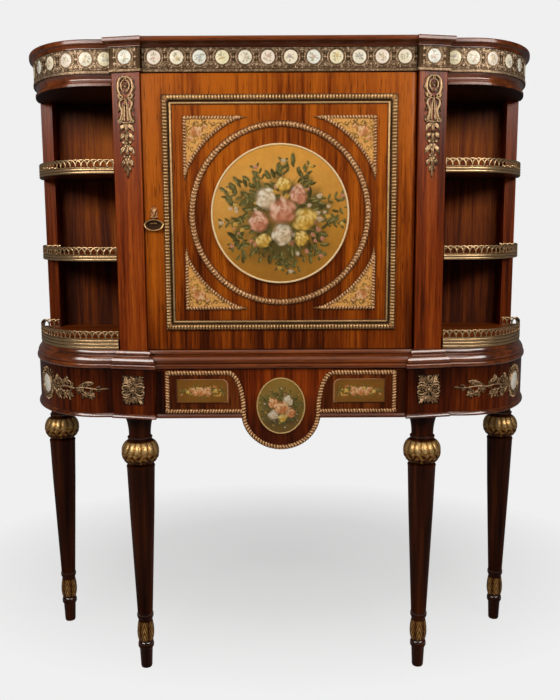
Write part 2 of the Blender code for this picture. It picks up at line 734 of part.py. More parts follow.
# Apron dress
PANEL_OUT = HEAD_IN - PANEL_END_MARGIN
PANEL_TOP = WAIST_Z - APRON_BEAD_EDGE
PANEL_LOW = APRON_BOTTOM + BEAD_HEIGHT


def make_apron_bead():
    """One beaded bronze line: two panels and the pendant between them."""
    half = APRON_BEAD_WIDTH / 2
    width = APRON_BEAD_WIDTH
    low, high = PANEL_LOW, PANEL_TOP
    flare_in, bowl_in = pendant_side(-half)
    flare_out, bowl_out = pendant_side(half)
    edge_x = PENDANT_HALF_WIDTH + half
    outer = [(PANEL_OUT, high), (PANEL_OUT, low), (edge_x, low)]
    outer += [point for point in bowl_out if point[1] < low - GAP]
    inner = flare_in + bowl_in[1:]
    outline = outer + mirrored(outer)[1:] + [(-x, z) for x, z in inner] + inner[::-1][1:]
    window = [(PANEL_OUT - width, low + width), (edge_x, low + width)]
    window += [point for point in flare_out[::-1] if point[1] > low + width + GAP]
    window += [(PANEL_OUT - width, high - width)]
    middle = APRON_FACE - GAP - APRON_BEAD_HEIGHT / 2
    flat_plate("apron_bead", [outline, window, mirrored(window)], APRON_BEAD_HEIGHT, BRONZE,
               facing_front(0, middle, 0))


def make_apron_plaques():
    outer = PANEL_OUT - PLAQUE_MARGIN - APRON_BEAD_WIDTH / 2
    inner = PENDANT_HALF_WIDTH + APRON_BEAD_WIDTH / 2 + PLAQUE_INNER_GAP + PLAQUE_CORNER / 2
    low = PANEL_LOW + APRON_BEAD_WIDTH + PLAQUE_MARGIN / 2
    high = PANEL_TOP - APRON_BEAD_WIDTH - PLAQUE_MARGIN / 2
    corner = arc((inner + PLAQUE_CORNER, high - PLAQUE_CORNER), (PLAQUE_CORNER, PLAQUE_CORNER), 90, 180, 5)
    outline = [(outer, low), (outer, high)] + corner + [(inner, low)]
    middle = APRON_FACE - GAP - PLAQUE_THICKNESS / 2
    for word, side in SIDES.items():
        shape = [(side * x, z) for x, z in outline]
        flat_plate("apron_plaque_" + word, [shape], PLAQUE_THICKNESS, PORCELAIN, facing_front(0, middle, 0))


def dome(name, radius_x, radius_z, height, rim, x, y, z):
    """A shallow domed oval on a front face, lying on the plane y."""
    profile = [(0.0, height)]
    for i in range(1, 6):
        share = i / 5
        profile.append((share, rim + (height - rim) * (1 - share ** 2)))
    profile += [(1.0, 0.0), (0.0, 0.0)]
    made = turned(name, profile, PORCELAIN, ROUND_STEPS)
    stretch = Matrix.Diagonal((radius_x, radius_z, 1.0, 1.0))
    made.matrix_world = facing_front(x, y, z) @ stretch
    return made


def make_pendant_medallion():
    dome("pendant_medallion", PENDANT_OVAL_WIDTH / 2, PENDANT_OVAL_HEIGHT / 2, PENDANT_OVAL_DOME,
         PENDANT_OVAL_RIM, 0.0, APRON_FACE - GAP, APRON_BOTTOM + PENDANT_OVAL_Z)


# Bronze mounts
def canted(x, y, z, side):
    """Place a plate drawn in (x, up) on a canted face: its back is on the face."""
    return Matrix.Translation((side * x, y, z)) @ Matrix.Rotation(side * CANT, 4, "Z") @ facing_front(0, 0, 0)


def on_canted_face(x, projection, away):
    """A point standing away from the canted face at x."""
    return x + away * math.sin(CANT), block_line(x, projection) - away * math.cos(CANT)


def mount_half_width(share):
    """Half width of the pilaster drop at a share of its length from the top."""
    swell = 0.50 + 0.34 * math.cos(2 * math.pi * 4.0 * share)
    taper = 1.0 - 0.80 * share ** 1.5
    return MOUNT_WIDTH / 2 * max(0.06, min(1.0, swell * taper + 0.16 * (1 - share)))


def make_pilaster_mount(word, side):
    steps = 24
    right = []
    for i in range(steps + 1):
        share = i / steps
        right.append((mount_half_width(share), -MOUNT_LENGTH * share))
    outline = right + [(-x, z) for x, z in reversed(right)]
    middle = (PILASTER_IN + PILASTER_OUT) / 2
    x, y = on_canted_face(middle, -PILASTER_SETBACK, GAP + MOUNT_THICKNESS / 2)
    flat_plate("pilaster_mount_" + word, [outline], MOUNT_THICKNESS, BRONZE,
               canted(x, y, FRIEZE_Z - MOUNT_DROP, side))


def make_rosette(word, side):
    w, h = ROSETTE_WIDTH / 2, ROSETTE_HEIGHT / 2
    centre_z = (APRON_BOTTOM + BEAD_HEIGHT + WAIST_Z) / 2
    x, y = on_canted_face(HEAD_X, LOWER_BLOCK, GAP + ROSETTE_THICKNESS / 2)
    outline = [(w, -h), (w, h), (-w, h), (-w, -h)]
    plate = flat_plate("rosette_mount_" + word, [outline], ROSETTE_THICKNESS, BRONZE,
                       canted(x, y, centre_z, side))
    deep = ROSETTE_THICKNESS + ROSETTE_BOSS_HEIGHT
    x, y = on_canted_face(HEAD_X, LOWER_BLOCK, 2 * GAP + deep / 2)
    boss = flat_plate("rosette_boss_" + word, [circle(ROSETTE_BOSS_RADIUS, SMALL_STEPS)], deep, BRONZE,
                      canted(x, y, centre_z, side))
    boolean(plate, boss, "UNION")


def make_end_mount(word, side):
    """A spray on the curved apron: a low branch near the front, swelling to an oval frame."""
    inner = LOWER_END + GAP
    outer = inner + END_MOUNT_THICKNESS
    halves = range(2 * END_MOUNT_CHORDS + 1)
    paths = [[chord_point(out, i / (2 * END_STEPS)) for i in halves] for out in (inner, outer)]
    centre_z = (APRON_BOTTOM + BEAD_HEIGHT + WAIST_Z) / 2
    count = len(paths[0])
    rings = []
    for i in range(count):
        share = i / (count - 1)
        branch = END_MOUNT_SPRAY * (0.25 + 0.75 * math.sin(math.pi * min(1.0, share * 1.3)) ** 0.5)
        oval = END_MOUNT_HEIGHT * math.sqrt(max(0.0, 1 - ((share - 0.80) / 0.22) ** 2))
        half = max(branch * (1 - share) + END_MOUNT_STEM, oval) / 2
        (xi, yi), (xo, yo) = paths[0][i], paths[1][i]
        rings.append([(xi, yi, centre_z - half), (xo, yo, centre_z - half), (xo, yo, centre_z + half),
                      (xi, yi, centre_z + half)])
    loft("end_mount_" + word, on_side(rings, side), BRONZE)


# Door
def hinge_pocket(name, z, up):
    """The recess for a hinge plate in a face at height z, going up or down from it."""
    half_l = HINGE_LENGTH / 2 + GAP
    half_w = HINGE_WIDTH / 2 + GAP
    zs = sorted((z - up * HINGE_PLATE, z + up * (HINGE_PLATE + GAP)))
    middle = HINGE_X - HINGE_LENGTH / 2 + HINGE_WIDTH / 2
    return box(name, (middle - half_l, HINGE_Y - half_w, zs[0]), (middle + half_l, HINGE_Y + half_w, zs[1]),
               STEEL, CUTTERS)


def hinge_plate(name, z, up):
    """A hinge plate whose outer face is at height z and which lies up or down from it."""
    zs = sorted((z, z + up * HINGE_PLATE))
    middle = HINGE_X - HINGE_LENGTH / 2 + HINGE_WIDTH / 2
    low = (middle - HINGE_LENGTH / 2, HINGE_Y - HINGE_WIDTH / 2, zs[0])
    return box(name, low, (middle + HINGE_LENGTH / 2, HINGE_Y + HINGE_WIDTH / 2, zs[1]), STEEL)


def hinge_rod(name, radius, low, high):
    rod = turned(name, [(0.0, high), (radius, high), (radius, low), (0.0, low)], STEEL, SMALL_STEPS)
    rod.location = (HINGE_X, HINGE_Y, 0.0)
    return rod


def make_hinges():
    """Centre hinges: a plate with a pin on the case, a socket plate in the door's edge."""
    for word, case_z, door_z, up in (("upper", FRIEZE_Z, DOOR_HIGH, 1), ("lower", CASE_Z, DOOR_LOW, -1)):
        case_plate = hinge_plate("hinge_case_" + word, case_z, up)
        tip = case_z - up * HINGE_PIN_LENGTH
        root = case_z + up * HINGE_PLATE / 2
        pin = hinge_rod("hinge_pin_" + word, HINGE_PIN_RADIUS, min(tip, root), max(tip, root))
        boolean(case_plate, pin, "UNION")
        door_plate = hinge_plate("hinge_door_" + word, door_z, -up)
        ends = sorted((door_z + up * HINGE_PLATE, door_z - up * 2 * HINGE_PLATE))
        socket = hinge_rod("hinge_socket_" + word, HINGE_PIN_RADIUS + PIN_CLEARANCE, ends[0], ends[1])
        boolean(door_plate, socket, "DIFFERENCE")


def make_door_panel():
    """The door, with a round hinge edge that turns in place beside the pilaster."""
    half = DOOR_WIDTH / 2
    round_edge = arc((HINGE_X, HINGE_Y), (DOOR_THICKNESS / 2, DOOR_THICKNESS / 2), -90, 90, 12)
    outline = [(-half, DOOR_BACK), (-half, DOOR_FRONT)] + round_edge
    turn = Matrix.Translation((0, 0, DOOR_MID_Z))
    panel = flat_plate("door_panel", [outline], DOOR_HIGH - DOOR_LOW, MAHOGANY, turn)
    for word, z, up in (("upper", DOOR_HIGH, 1), ("lower", DOOR_LOW, -1)):
        boolean(panel, hinge_pocket("door_pocket_" + word, z, -up), "DIFFERENCE")
        reach = sorted((z + up * GAP, z - up * (HINGE_PIN_LENGTH + GAP)))
        hole = hinge_rod("door_hole_" + word, HINGE_PIN_RADIUS + PIN_CLEARANCE, reach[0], reach[1])
        boolean(panel, hole, "DIFFERENCE")
    return panel


def front_rings(loops, z):
    """Loops of (x, up, away) laid on the door's front about a height z."""
    return [[(x, DOOR_FRONT - GAP - away, z + up) for x, up, away in loop] for loop in loops]


def make_door_frame():
    section = [(0.0, 0.0), (0.0, 0.55), (0.10, 0.90), (0.36, 1.0), (0.62, 0.85), (0.72, 0.50), (1.0, 0.40),
               (1.0, 0.0)]
    loops = []
    for inset, away in section:
        half = FRAME_SIZE / 2 - FRAME_WIDTH * inset
        loops.append([(x, up, FRAME_HEIGHT * away) for x, up in
                      ((half, half), (-half, half), (-half, -half), (half, -half))])
    loft("door_frame_moulding", front_rings(loops, DOOR_MID_Z), BRONZE, ends="join")


def make_door_ring():
    section = [(0.0, 0.0), (0.06, 0.6), (0.30, 1.0), (0.70, 1.0), (0.94, 0.6), (1.0, 0.0)]
    loops = []
    for inset, away in section:
        radius = RING_RADIUS - RING_WIDTH * inset
        loops.append([(x, up, RING_HEIGHT * away) for x, up in circle(radius, ROUND_STEPS)])
    loft("door_ring_moulding", front_rings(loops, DOOR_MID_Z), BRONZE, ends="join")


def make_spandrels():
    """Four corner plates, hollowed by an arc about the door's middle."""
    corner = FRAME_SIZE / 2 - FRAME_WIDTH - SPANDREL_MARGIN
    radius = RING_RADIUS + SPANDREL_GAP
    tip = math.degrees(math.asin(corner / radius))
    hollow = arc((0.0, 0.0), (radius, radius), tip, 90 - tip, 10)
    outline = [(corner, corner)] + hollow
    middle = DOOR_FRONT - GAP - SPANDREL_HEIGHT / 2
    for high_word, up in (("top", 1), ("bottom", -1)):
        for word, side in SIDES.items():
            shape = [(side * x, up * z) for x, z in outline]
            flat_plate("spandrel_" + high_word + "_" + word, [shape], SPANDREL_HEIGHT, PORCELAIN,
                       facing_front(0, middle, DOOR_MID_Z))


def make_door_medallion():
    dome("door_medallion", MEDALLION_RADIUS, MEDALLION_RADIUS, MEDALLION_HEIGHT, MEDALLION_RIM,
         0.0, DOOR_FRONT - GAP, DOOR_MID_Z)


# Drop pull
PULL_X = -(DOOR_WIDTH / 2 - STILE_WIDTH / 2)
PULL_Y = DOOR_FRONT - PULL_PIN_STANDOFF
PULL_Z = DOOR_MID_Z - PULL_BELOW_MIDDLE


def rod_along_x(name, radius, half, material):
    rod = turned(name, [(0.0, half), (radius, half), (radius, -half), (0.0, -half)], material, SMALL_STEPS)
    turn = Matrix.Rotation(math.radians(90), 4, "Y")
    rod.matrix_world = Matrix.Translation((PULL_X, PULL_Y, PULL_Z)) @ turn
    return rod


def make_pull_crest():
    """The foliate backplate, with two cheeks that hold the pin."""
    half = CREST_WIDTH / 2
    shape = [(0.55, 0.0), (1.0, 0.20), (0.75, 0.37), (0.95, 0.52), (0.50, 0.69), (0.55, 0.82), (0.0, 1.0)]
    leaf = [(half * wide, (CREST_HEIGHT + CREST_TAIL) * up - CREST_TAIL) for wide, up in shape]
    outline = leaf + [(-x, z) for x, z in reversed(leaf[:-1])]
    middle = DOOR_FRONT - GAP - CREST_THICKNESS / 2
    crest = flat_plate("pull_crest", [outline], CREST_THICKNESS, BRONZE, facing_front(PULL_X, middle, PULL_Z))
    inner = PULL_EYE_WIDTH / 2 + GAP
    for word, side in SIDES.items():
        xs = sorted((PULL_X + side * inner, PULL_X + side * (inner + CHEEK_WIDTH)))
        back = DOOR_FRONT - CREST_THICKNESS / 2
        low = (xs[0], PULL_Y - PULL_EYE_RADIUS * 0.8, PULL_Z - PULL_EYE_RADIUS * 0.8)
        cheek = box("pull_cheek_" + word, low, (xs[1], back, PULL_Z + PULL_EYE_RADIUS * 0.8), BRONZE, CUTTERS)
        boolean(crest, cheek, "UNION")
    boolean(crest, rod_along_x("pull_pin", PULL_PIN_RADIUS, inner + CHEEK_WIDTH / 2, BRONZE), "UNION")


def make_pull_drop():
    """The oval drop, hung from the pin by its eye; its origin is on the pin's axis."""
    height = PULL_HEIGHT / 2
    centre = -PULL_NECK - height
    oval = [(u, v + centre) for u, v in arc((0, 0), (PULL_WIDTH / 2, height), 0, 360 - 360 / 24, 23)]
    drop = flat_plate("pull_drop", [oval], PULL_THICKNESS, BRONZE, facing_front(0, 0, 0))
    drop.location = (PULL_X, PULL_Y, PULL_Z)
    half = PULL_EYE_WIDTH / 2
    deep = PULL_THICKNESS / 3
    neck = box("pull_neck", (PULL_X - half, PULL_Y - deep, PULL_Z - PULL_NECK - height / 4),
               (PULL_X + half, PULL_Y + deep, PULL_Z), BRONZE, CUTTERS)
    boolean(drop, neck, "UNION")
    boolean(drop, rod_along_x("pull_eye", PULL_EYE_RADIUS, half - PIN_CLEARANCE, BRONZE), "UNION")
    bore = rod_along_x("pull_bore", PULL_PIN_RADIUS + PIN_CLEARANCE, PULL_EYE_WIDTH, BRONZE)
    boolean(drop, bore, "DIFFERENCE")


# Catch
def make_catch():
    """A magnet on the left wall and its strike plate on the door's back."""
    low = CASE_Z + CATCH_TOP - CATCH_HEIGHT
    high = CASE_Z + CATCH_TOP
    plate_x = -DOOR_WIDTH / 2 + GAP
    near = DOOR_BACK + GAP
    box("catch_plate", (plate_x, near, low), (plate_x + CATCH_WIDTH, near + CATCH_PLATE, high), STEEL)
    wall = -PILASTER_IN + GAP
    face = near + CATCH_PLATE + GAP
    box("catch_magnet", (wall, face, low), (wall + CATCH_WIDTH, face + CATCH_DEPTH, high), BROWN_PLASTIC)


def build():
    make_top_board()
    make_frieze_rail()
    make_frieze_band()
    make_waist_board()
    make_back()
    make_end_shelves()
    make_inner_shelf()
    make_apron_centre()
    make_back_rail()
    make_apron_bead()
    make_apron_plaques()
    make_pendant_medallion()
    make_legs()
    for word, side in SIDES.items():
        make_frieze_end(word, side)
        make_pilaster(word, side)
        make_case_side(word, side)
        make_apron_end(word, side)
        make_pilaster_mount(word, side)
        make_rosette(word, side)
        make_end_mount(word, side)
    make_door_panel()
    make_door_frame()
    make_door_ring()
    make_spandrels()
    make_door_medallion()
    make_hinges()
    make_catch()
    make_pull_crest()
    make_pull_drop()


build()
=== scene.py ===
# %% [markdown]
# # A D-ended side cabinet in mahogany, gilt bronze and painted porcelain
#
# The imported CAD model is loaded first and never moved. Every dressed piece below is worked out
# in the same frame, in metres: the floor is z = 0, the front of the cabinet looks towards -Y,
# and the two rounded ends reach out along X. The CAD box is left in place, and the plan takes its
# back and its top from it.

# %% Load the frame
import math
import bmesh
import bpy
import numpy as np
from mathutils import Matrix, Vector


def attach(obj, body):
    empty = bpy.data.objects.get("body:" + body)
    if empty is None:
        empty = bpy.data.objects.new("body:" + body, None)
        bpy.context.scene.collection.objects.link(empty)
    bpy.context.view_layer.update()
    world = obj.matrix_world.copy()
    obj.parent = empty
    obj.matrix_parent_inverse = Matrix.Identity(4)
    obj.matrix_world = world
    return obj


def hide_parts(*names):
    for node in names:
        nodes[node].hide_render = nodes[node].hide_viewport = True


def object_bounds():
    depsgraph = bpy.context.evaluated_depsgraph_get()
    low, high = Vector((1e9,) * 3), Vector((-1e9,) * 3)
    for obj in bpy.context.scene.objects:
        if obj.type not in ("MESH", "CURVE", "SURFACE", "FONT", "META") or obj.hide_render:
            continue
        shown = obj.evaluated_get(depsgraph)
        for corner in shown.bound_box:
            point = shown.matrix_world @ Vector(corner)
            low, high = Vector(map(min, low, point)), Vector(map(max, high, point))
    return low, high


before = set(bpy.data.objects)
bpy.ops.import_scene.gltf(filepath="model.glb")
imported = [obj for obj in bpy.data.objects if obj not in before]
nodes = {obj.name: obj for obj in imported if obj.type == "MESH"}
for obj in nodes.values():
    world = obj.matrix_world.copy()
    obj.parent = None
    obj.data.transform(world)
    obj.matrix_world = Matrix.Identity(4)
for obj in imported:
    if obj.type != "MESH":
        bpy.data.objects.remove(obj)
cad_low, cad_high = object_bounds()
BACK = cad_high.y
print("CAD box", [round(v, 4) for v in (*cad_low, *cad_high)])

# %% [markdown]
# ## The camera
#
# The photograph was taken from straight in front, a little under the height of the cornice, looking
# slightly down. A perspective camera is a place, a tilt and a focal length. They were found by
# matching the feet, the door's corners and the cornice, and they are written here as numbers.

# %% Camera
EYE_PLACE, EYE_TILT, EYE_ROLL = (0.0, -1.742056, 0.9226), math.radians(81.5), -0.0045

eye = bpy.data.cameras.new("photo_camera")
eye.sensor_fit = "AUTO"
eye.sensor_width = 36.0
eye.lens = 42.686
eye.shift_x = -0.001
camera = bpy.data.objects.new("photo_camera", eye)
bpy.context.collection.objects.link(camera)
camera.matrix_world = (Matrix.Translation(EYE_PLACE) @ Matrix.Rotation(EYE_TILT, 4, "X")
                       @ Matrix.Rotation(EYE_ROLL, 4, "Z"))
bpy.context.scene.camera = camera
print("camera at", [round(v, 3) for v in camera.matrix_world.translation])

# %% [markdown]
# ## Shader sums
#
# A finish is a small network of nodes. Writing `tone * 0.6 + fibre * 0.3` is easier to read than
# joining sockets by hand, so one class wraps a socket and turns every sum on it into a Math node.
# A second class holds one material, and its `node` method adds any other node: the settings go
# in first, then the value or the link of each socket.

# %% Sockets that can be added and multiplied
class Wire:
    """A socket that carries a value. Sums written on it add Math nodes to its finish."""

    def __init__(self, finish, socket):
        self.finish = finish
        self.socket = socket

    def math(self, operation, first, second=0.0):
        return self.finish.node("Math", {"operation": operation}, {0: first, 1: second})

    def __add__(self, other):
        return self.math("ADD", self, other)

    __radd__ = __add__

    def __mul__(self, other):
        return self.math("MULTIPLY", self, other)

    __rmul__ = __mul__

    def __sub__(self, other):
        return self.math("SUBTRACT", self, other)

    def __rsub__(self, other):
        return self.math("SUBTRACT", other, self)

    def __abs__(self):
        return self.math("ABSOLUTE", self)

    def __lt__(self, other):
        return self.math("LESS_THAN", self, other)


class Finish:
    """One material or world in the making: its node tree, and the shader that the sums feed."""

    def __init__(self, name, store=bpy.data.materials, shader="Principled BSDF"):
        self.material = store.new(name)
        self.material.use_nodes = True
        self.tree = self.material.node_tree
        self.shader = self.tree.nodes[shader]

    def node(self, kind, settings=None, sockets=None, output=0):
        """Add a node: its settings, then the value or link of each socket; give back one output."""
        made = self.tree.nodes.new("ShaderNode" + kind)
        for name, value in (settings or {}).items():
            if name == "stops":
                self.set_stops(made.color_ramp, value)
            else:
                setattr(made, name, value)
        self.feed(made, sockets or {})
        return Wire(self, made.outputs[output])

    def set_stops(self, ramp, stops):
        while len(ramp.elements) < len(stops):
            ramp.elements.new(1.0)
        for element, (position, colour) in zip(ramp.elements, stops):
            element.position = position
            element.color = (*colour, 1.0)

    def feed(self, node, sockets):
        for name, value in sockets.items():
            if isinstance(value, Wire):
                self.tree.links.new(value.socket, node.inputs[name])
            else:
                node.inputs[name].default_value = value

    def place(self):
        """Where a point lies in its object's own coordinates."""
        return self.node("TexCoord", output="Object")

    def axis(self, place, letter):
        return self.node("SeparateXYZ", {}, {0: place}, output=letter)

    def carried(self, name, output="Fac"):
        """What the mesh carries at its points under that name."""
        return self.node("Attribute", {"attribute_name": name}, output=output)

    def ramp(self, factor, *stops):
        return self.node("ValToRGB", {"stops": stops}, {"Fac": factor})

    def spread(self, value, start, stop, first, last, kind="LINEAR"):
        """Map a value that runs from start to stop onto first to last, held beyond both ends."""
        return self.node("MapRange", {"interpolation_type": kind},
                         {0: value, 1: start, 2: stop, 3: first, 4: last})

    def mix(self, factor, first, second, blend="MIX"):
        return self.node("Mix", {"data_type": "RGBA", "blend_type": blend},
                         {0: factor, 6: first, 7: second}, output=2)

    def noise(self, place, scale, detail=3.0, roughness=0.55, distortion=0.0):
        return self.node("TexNoise", {}, {"Vector": place, "Scale": scale, "Detail": detail,
                                          "Roughness": roughness, "Distortion": distortion})

    def dents(self, height, depth, strength=1.0):
        """A Bump node on Normal: height is a value over the surface, depth its full scale in metres."""
        bump = self.node("Bump", {}, {"Height": height, "Distance": depth, "Strength": strength},
                         output="Normal")
        self.feed(self.shader, {"Normal": bump})

    def done(self, **sockets):
        """Feed the shader: base_color, roughness, metallic and so on, named by its sockets."""
        for name, value in sockets.items():
            self.feed(self.shader, {name.replace("_", " ").title().replace("Ior", "IOR"): value})
        print("finish", self.material.name, len(self.tree.nodes), "nodes")
        return self.material


def grey(value):
    return (value, value, value)


BLACK, WHITE = grey(0.0), grey(1.0)

# %% [markdown]
# ## Polished mahogany
#
# The veneer runs upright on the door, the pilasters and the aprons, and lengthwise on the boards.
# Wood is a stack of stretched noises: a slow drift between lighter and darker leaves of veneer, the
# ribbon figure, and fine fibres. Stretching the coordinates along one axis turns round noise into
# grain. A clear coat over a fairly smooth surface gives the old French polish. Light and shade are
# painted into the colour too: a rise with height paints the wood paler towards the top, and a ramp
# over the height paints shade under the shelves and the boards.

# %% Wood finishes
WORN_FROM, WORN_TO = 0.215, 0.262


def polished_wood(name, grain, dark, mid, pale, gloss=0.30, start=0.0, rise=0.0, coat=0.12,
                  coat_ior=1.5, worn=0.0, shaded=()):
    """Grain: how fast the noise changes along X, Y and Z; a small number draws it out along that axis.
    Start: where along X the veneer was cut. Rise: how much paler each metre of height makes it, painted light
    that falls off towards the floor.
    Worn: how much of the polish is gone in the middle, where hands and dusters pass.
    Shaded: pairs of height and light for painted shade, on every side but the back."""
    wood = Finish(name)
    place = wood.place()
    along = wood.node("Mapping", {}, {"Vector": place, "Scale": grain, "Location": (start, 0.0, 0.0)})
    drift = wood.noise(along, 5.0, 2.0)
    ribbon = wood.noise(along, 34.0, 4.0, 0.62, 0.35)
    fibre = wood.noise(along, 190.0, 3.0, 0.7)
    pores = wood.noise(along, 620.0, 2.0, 0.6)
    across, depth, height = (wood.axis(place, letter) for letter in "XYZ")
    if worn:
        coat = wood.spread(abs(across), WORN_FROM, WORN_TO, coat - worn, coat, "SMOOTHSTEP")
    figure = (drift - 0.5) * 0.8 + (ribbon - 0.5) * 1.95 + (fibre - 0.5) * 1.3
    tone = figure + (height - 0.95) * rise + 0.5
    colour = wood.ramp(tone, (0.10, dark), (0.48, mid), (0.95, pale))
    flecked = wood.mix(wood.ramp(pores, (0.30, WHITE), (0.42, BLACK)), colour, (*dark, 1.0))
    if shaded:
        low, high = shaded[0][0], shaded[-1][0]
        stops = [((z - low) / (high - low), grey(light)) for z, light in shaded]
        light = wood.ramp((height - low) * (1 / (high - low)), *stops)
        front = wood.spread(depth, BACK - 0.011, BACK - 0.009, 1.0, 0.0)
        flecked = wood.mix(front, flecked, light, "MULTIPLY")
    wood.dents(fibre * 0.6 + pores * 0.4, 0.00012, 0.35)
    return wood.done(base_color=flecked, roughness=gloss + (fibre - 0.5) * 0.16, coat_weight=coat,
                     coat_ior=coat_ior, coat_roughness=0.17, specular_ior_level=0.15)


UPRIGHT, LENGTHWISE = (1.0, 1.0, 0.035), (0.035, 1.0, 1.0)
# Heights and lights of painted shade: under the waist on the aprons, under each shelf on the back boards, and
# on the shelves' undersides; the pendant's ramp paints a light middle, with shade towards its foot and under
# the waist.
UNDER_WAIST_PAINTED_SHADE = ((0.48, 1.0), (0.575, 1.15), (0.605, 0.95), (0.630, 0.60), (0.645, 0.45))
ROUND_PENDANT_PAINTED_LIGHT = ((0.48, 0.30), (0.53, 0.40), (0.57, 0.69), (0.60, 1.0), (0.637, 0.86), (0.645, 0.57))
UNDER_SHELVES_PAINTED_SHADE = ((0.69, 0.75), (0.79, 0.85), (0.855, 0.25), (0.866, 0.75), (0.96, 1.0), (1.025, 0.28),
                 (1.036, 0.9), (1.10, 1.0), (1.18, 0.10))
SHELF_UNDERSIDES_PAINTED_SHADE = ((0.70, 1.0), (0.850, 1.0), (0.854, 0.08), (0.8605, 0.08), (0.8635, 1.0), (1.018, 1.0),
                    (1.022, 0.08), (1.0285, 0.08), (1.0315, 1.0))
# The door, the case and the shelf backs take a rise: painted light, paler at the top and darker towards the
# floor.
door_wood = polished_wood("door_mahogany", UPRIGHT, (0.045, 0.0066, 0.0007), (0.192, 0.0335, 0.0015),
                          (0.425, 0.100, 0.0042), start=0.37, rise=1.0)
case_wood = polished_wood("case_mahogany", UPRIGHT, (0.060, 0.0090, 0.0014), (0.200, 0.0305, 0.0028),
                          (0.36, 0.074, 0.0060), start=0.85, rise=0.3, coat=0.10)
apron_wood = polished_wood("apron_mahogany", UPRIGHT, (0.020, 0.0028, 0.0004), (0.072, 0.0098, 0.0008),
                           (0.165, 0.0275, 0.0020), start=1.3, coat=0.08, shaded=UNDER_WAIST_PAINTED_SHADE)
pendant_wood = polished_wood("pendant_mahogany", UPRIGHT, (0.042, 0.0056, 0.0006), (0.151, 0.0200, 0.0014),
                             (0.346, 0.056, 0.0036), start=1.3, coat=0.08, shaded=ROUND_PENDANT_PAINTED_LIGHT)
panel_wood = polished_wood("shelf_back_mahogany", UPRIGHT, (0.080, 0.0132, 0.0010), (0.265, 0.050, 0.0022),
                           (0.48, 0.122, 0.0065), gloss=0.55, rise=1.2, coat=0.0, shaded=UNDER_SHELVES_PAINTED_SHADE)
shelf_wood = polished_wood("shelf_mahogany", LENGTHWISE, (0.062, 0.0102, 0.0012), (0.225, 0.039, 0.0025),
                           (0.39, 0.088, 0.0060), gloss=0.40, coat=0.08, shaded=SHELF_UNDERSIDES_PAINTED_SHADE)
cornice_wood = polished_wood("cornice_mahogany", LENGTHWISE, (0.040, 0.0075, 0.0020), (0.12, 0.025, 0.0045),
                             (0.24, 0.054, 0.008), coat=0.5, coat_ior=1.8, worn=0.3)
board_wood = polished_wood("moulding_mahogany", LENGTHWISE, (0.045, 0.0085, 0.0025), (0.13, 0.028, 0.0055),
                           (0.26, 0.060, 0.009), coat=1.0, coat_ior=1.8, worn=0.7)
field_wood = polished_wood("apron_field_mahogany", UPRIGHT, (0.026, 0.0050, 0.0010), (0.100, 0.0185, 0.0024),
                           (0.22, 0.050, 0.006), coat=0.06)
# A very dark wood for the strips beside the blocks: painted shadow cast by the blocks.
stile_shadow_wood = polished_wood("apron_stile_mahogany", UPRIGHT, (0.008, 0.0012, 0.0003), (0.027, 0.0044, 0.0006),
                           (0.065, 0.0120, 0.0015), coat=0.04)
# A near-black wood for undersides: painted shade where the light doesn't reach.
underside_shade_wood = polished_wood("unpolished_underside", LENGTHWISE, (0.005, 0.0016, 0.0008),
                           (0.012, 0.0034, 0.0013), (0.024, 0.0065, 0.0022), gloss=0.6, coat=0.0)

# %% [markdown]
# ## Chased bronze and painted porcelain
#
# The mounts are cast, chased and lacquered, and a century of dust lies in their hollows. Each bronze
# piece carries a point attribute, *relief*, from 0 in the hollows to 1 on the ridges. It drives the
# colour from brown-black to pale gold, and the roughness with it. Painted pieces carry their colours
# in an attribute of their own, *paint*.

# %% Bronze and painted finishes
PAINTED_LIGHT_FROM, PAINTED_LIGHT_TO = 0.28, 0.42


def chased_bronze(name, hollow, middle, ridge, metallic=0.8, gloss=0.34, speckle=0.75, grit=400.0, painted_end_light=0.0):
    """Speckle: how far fine wear pushes the tone. Grit: how fine that wear is.
    Painted end light: painted light that raises the tone at the rounded ends above the middle."""
    cast = Finish(name)
    place = cast.place()
    relief = cast.carried("relief")
    wear = cast.noise(place, grit, 3.0, 0.65)
    tarnish = cast.noise(place, 28.0, 2.0)
    tone = relief * 0.92 + (wear - 0.5) * speckle + (tarnish - 0.5) * 0.25
    if painted_end_light:
        tone = tone + cast.spread(abs(cast.axis(place, "X")), PAINTED_LIGHT_FROM, PAINTED_LIGHT_TO, 0.0, painted_end_light)
    colour = cast.ramp(tone, (0.05, hollow), (0.45, middle), (0.86, ridge))
    cast.dents(wear, 0.0004, 0.8)
    return cast.done(base_color=colour, metallic=metallic, specular_ior_level=0.2,
                     roughness=gloss + 0.22 - relief * 0.2 + (wear - 0.5) * 0.2)


def painted(name, gloss=0.24):
    """Brushed colours under a glaze: the paint, darkened a little by clouds and strokes."""
    glaze = Finish(name)
    place = glaze.place()
    cloud = glaze.noise(place, 55.0, 4.0, 0.6)
    stroke = glaze.noise(place, 420.0, 2.0, 0.6)
    shade = glaze.ramp(cloud * 0.6 + stroke * 0.4, (0.30, (0.80, 0.78, 0.74)), (0.62, WHITE))
    colour = glaze.mix(1.0, glaze.carried("paint", "Color"), shade, "MULTIPLY")
    glaze.dents(stroke, 0.00008, 0.3)
    return glaze.done(base_color=colour, roughness=gloss + (stroke - 0.5) * 0.1, coat_weight=0.1,
                      coat_roughness=0.12, specular_ior_level=0.35)


bronze = chased_bronze("gilt_bronze", (0.040, 0.019, 0.008), (0.215, 0.112, 0.044), (0.70, 0.44, 0.20))
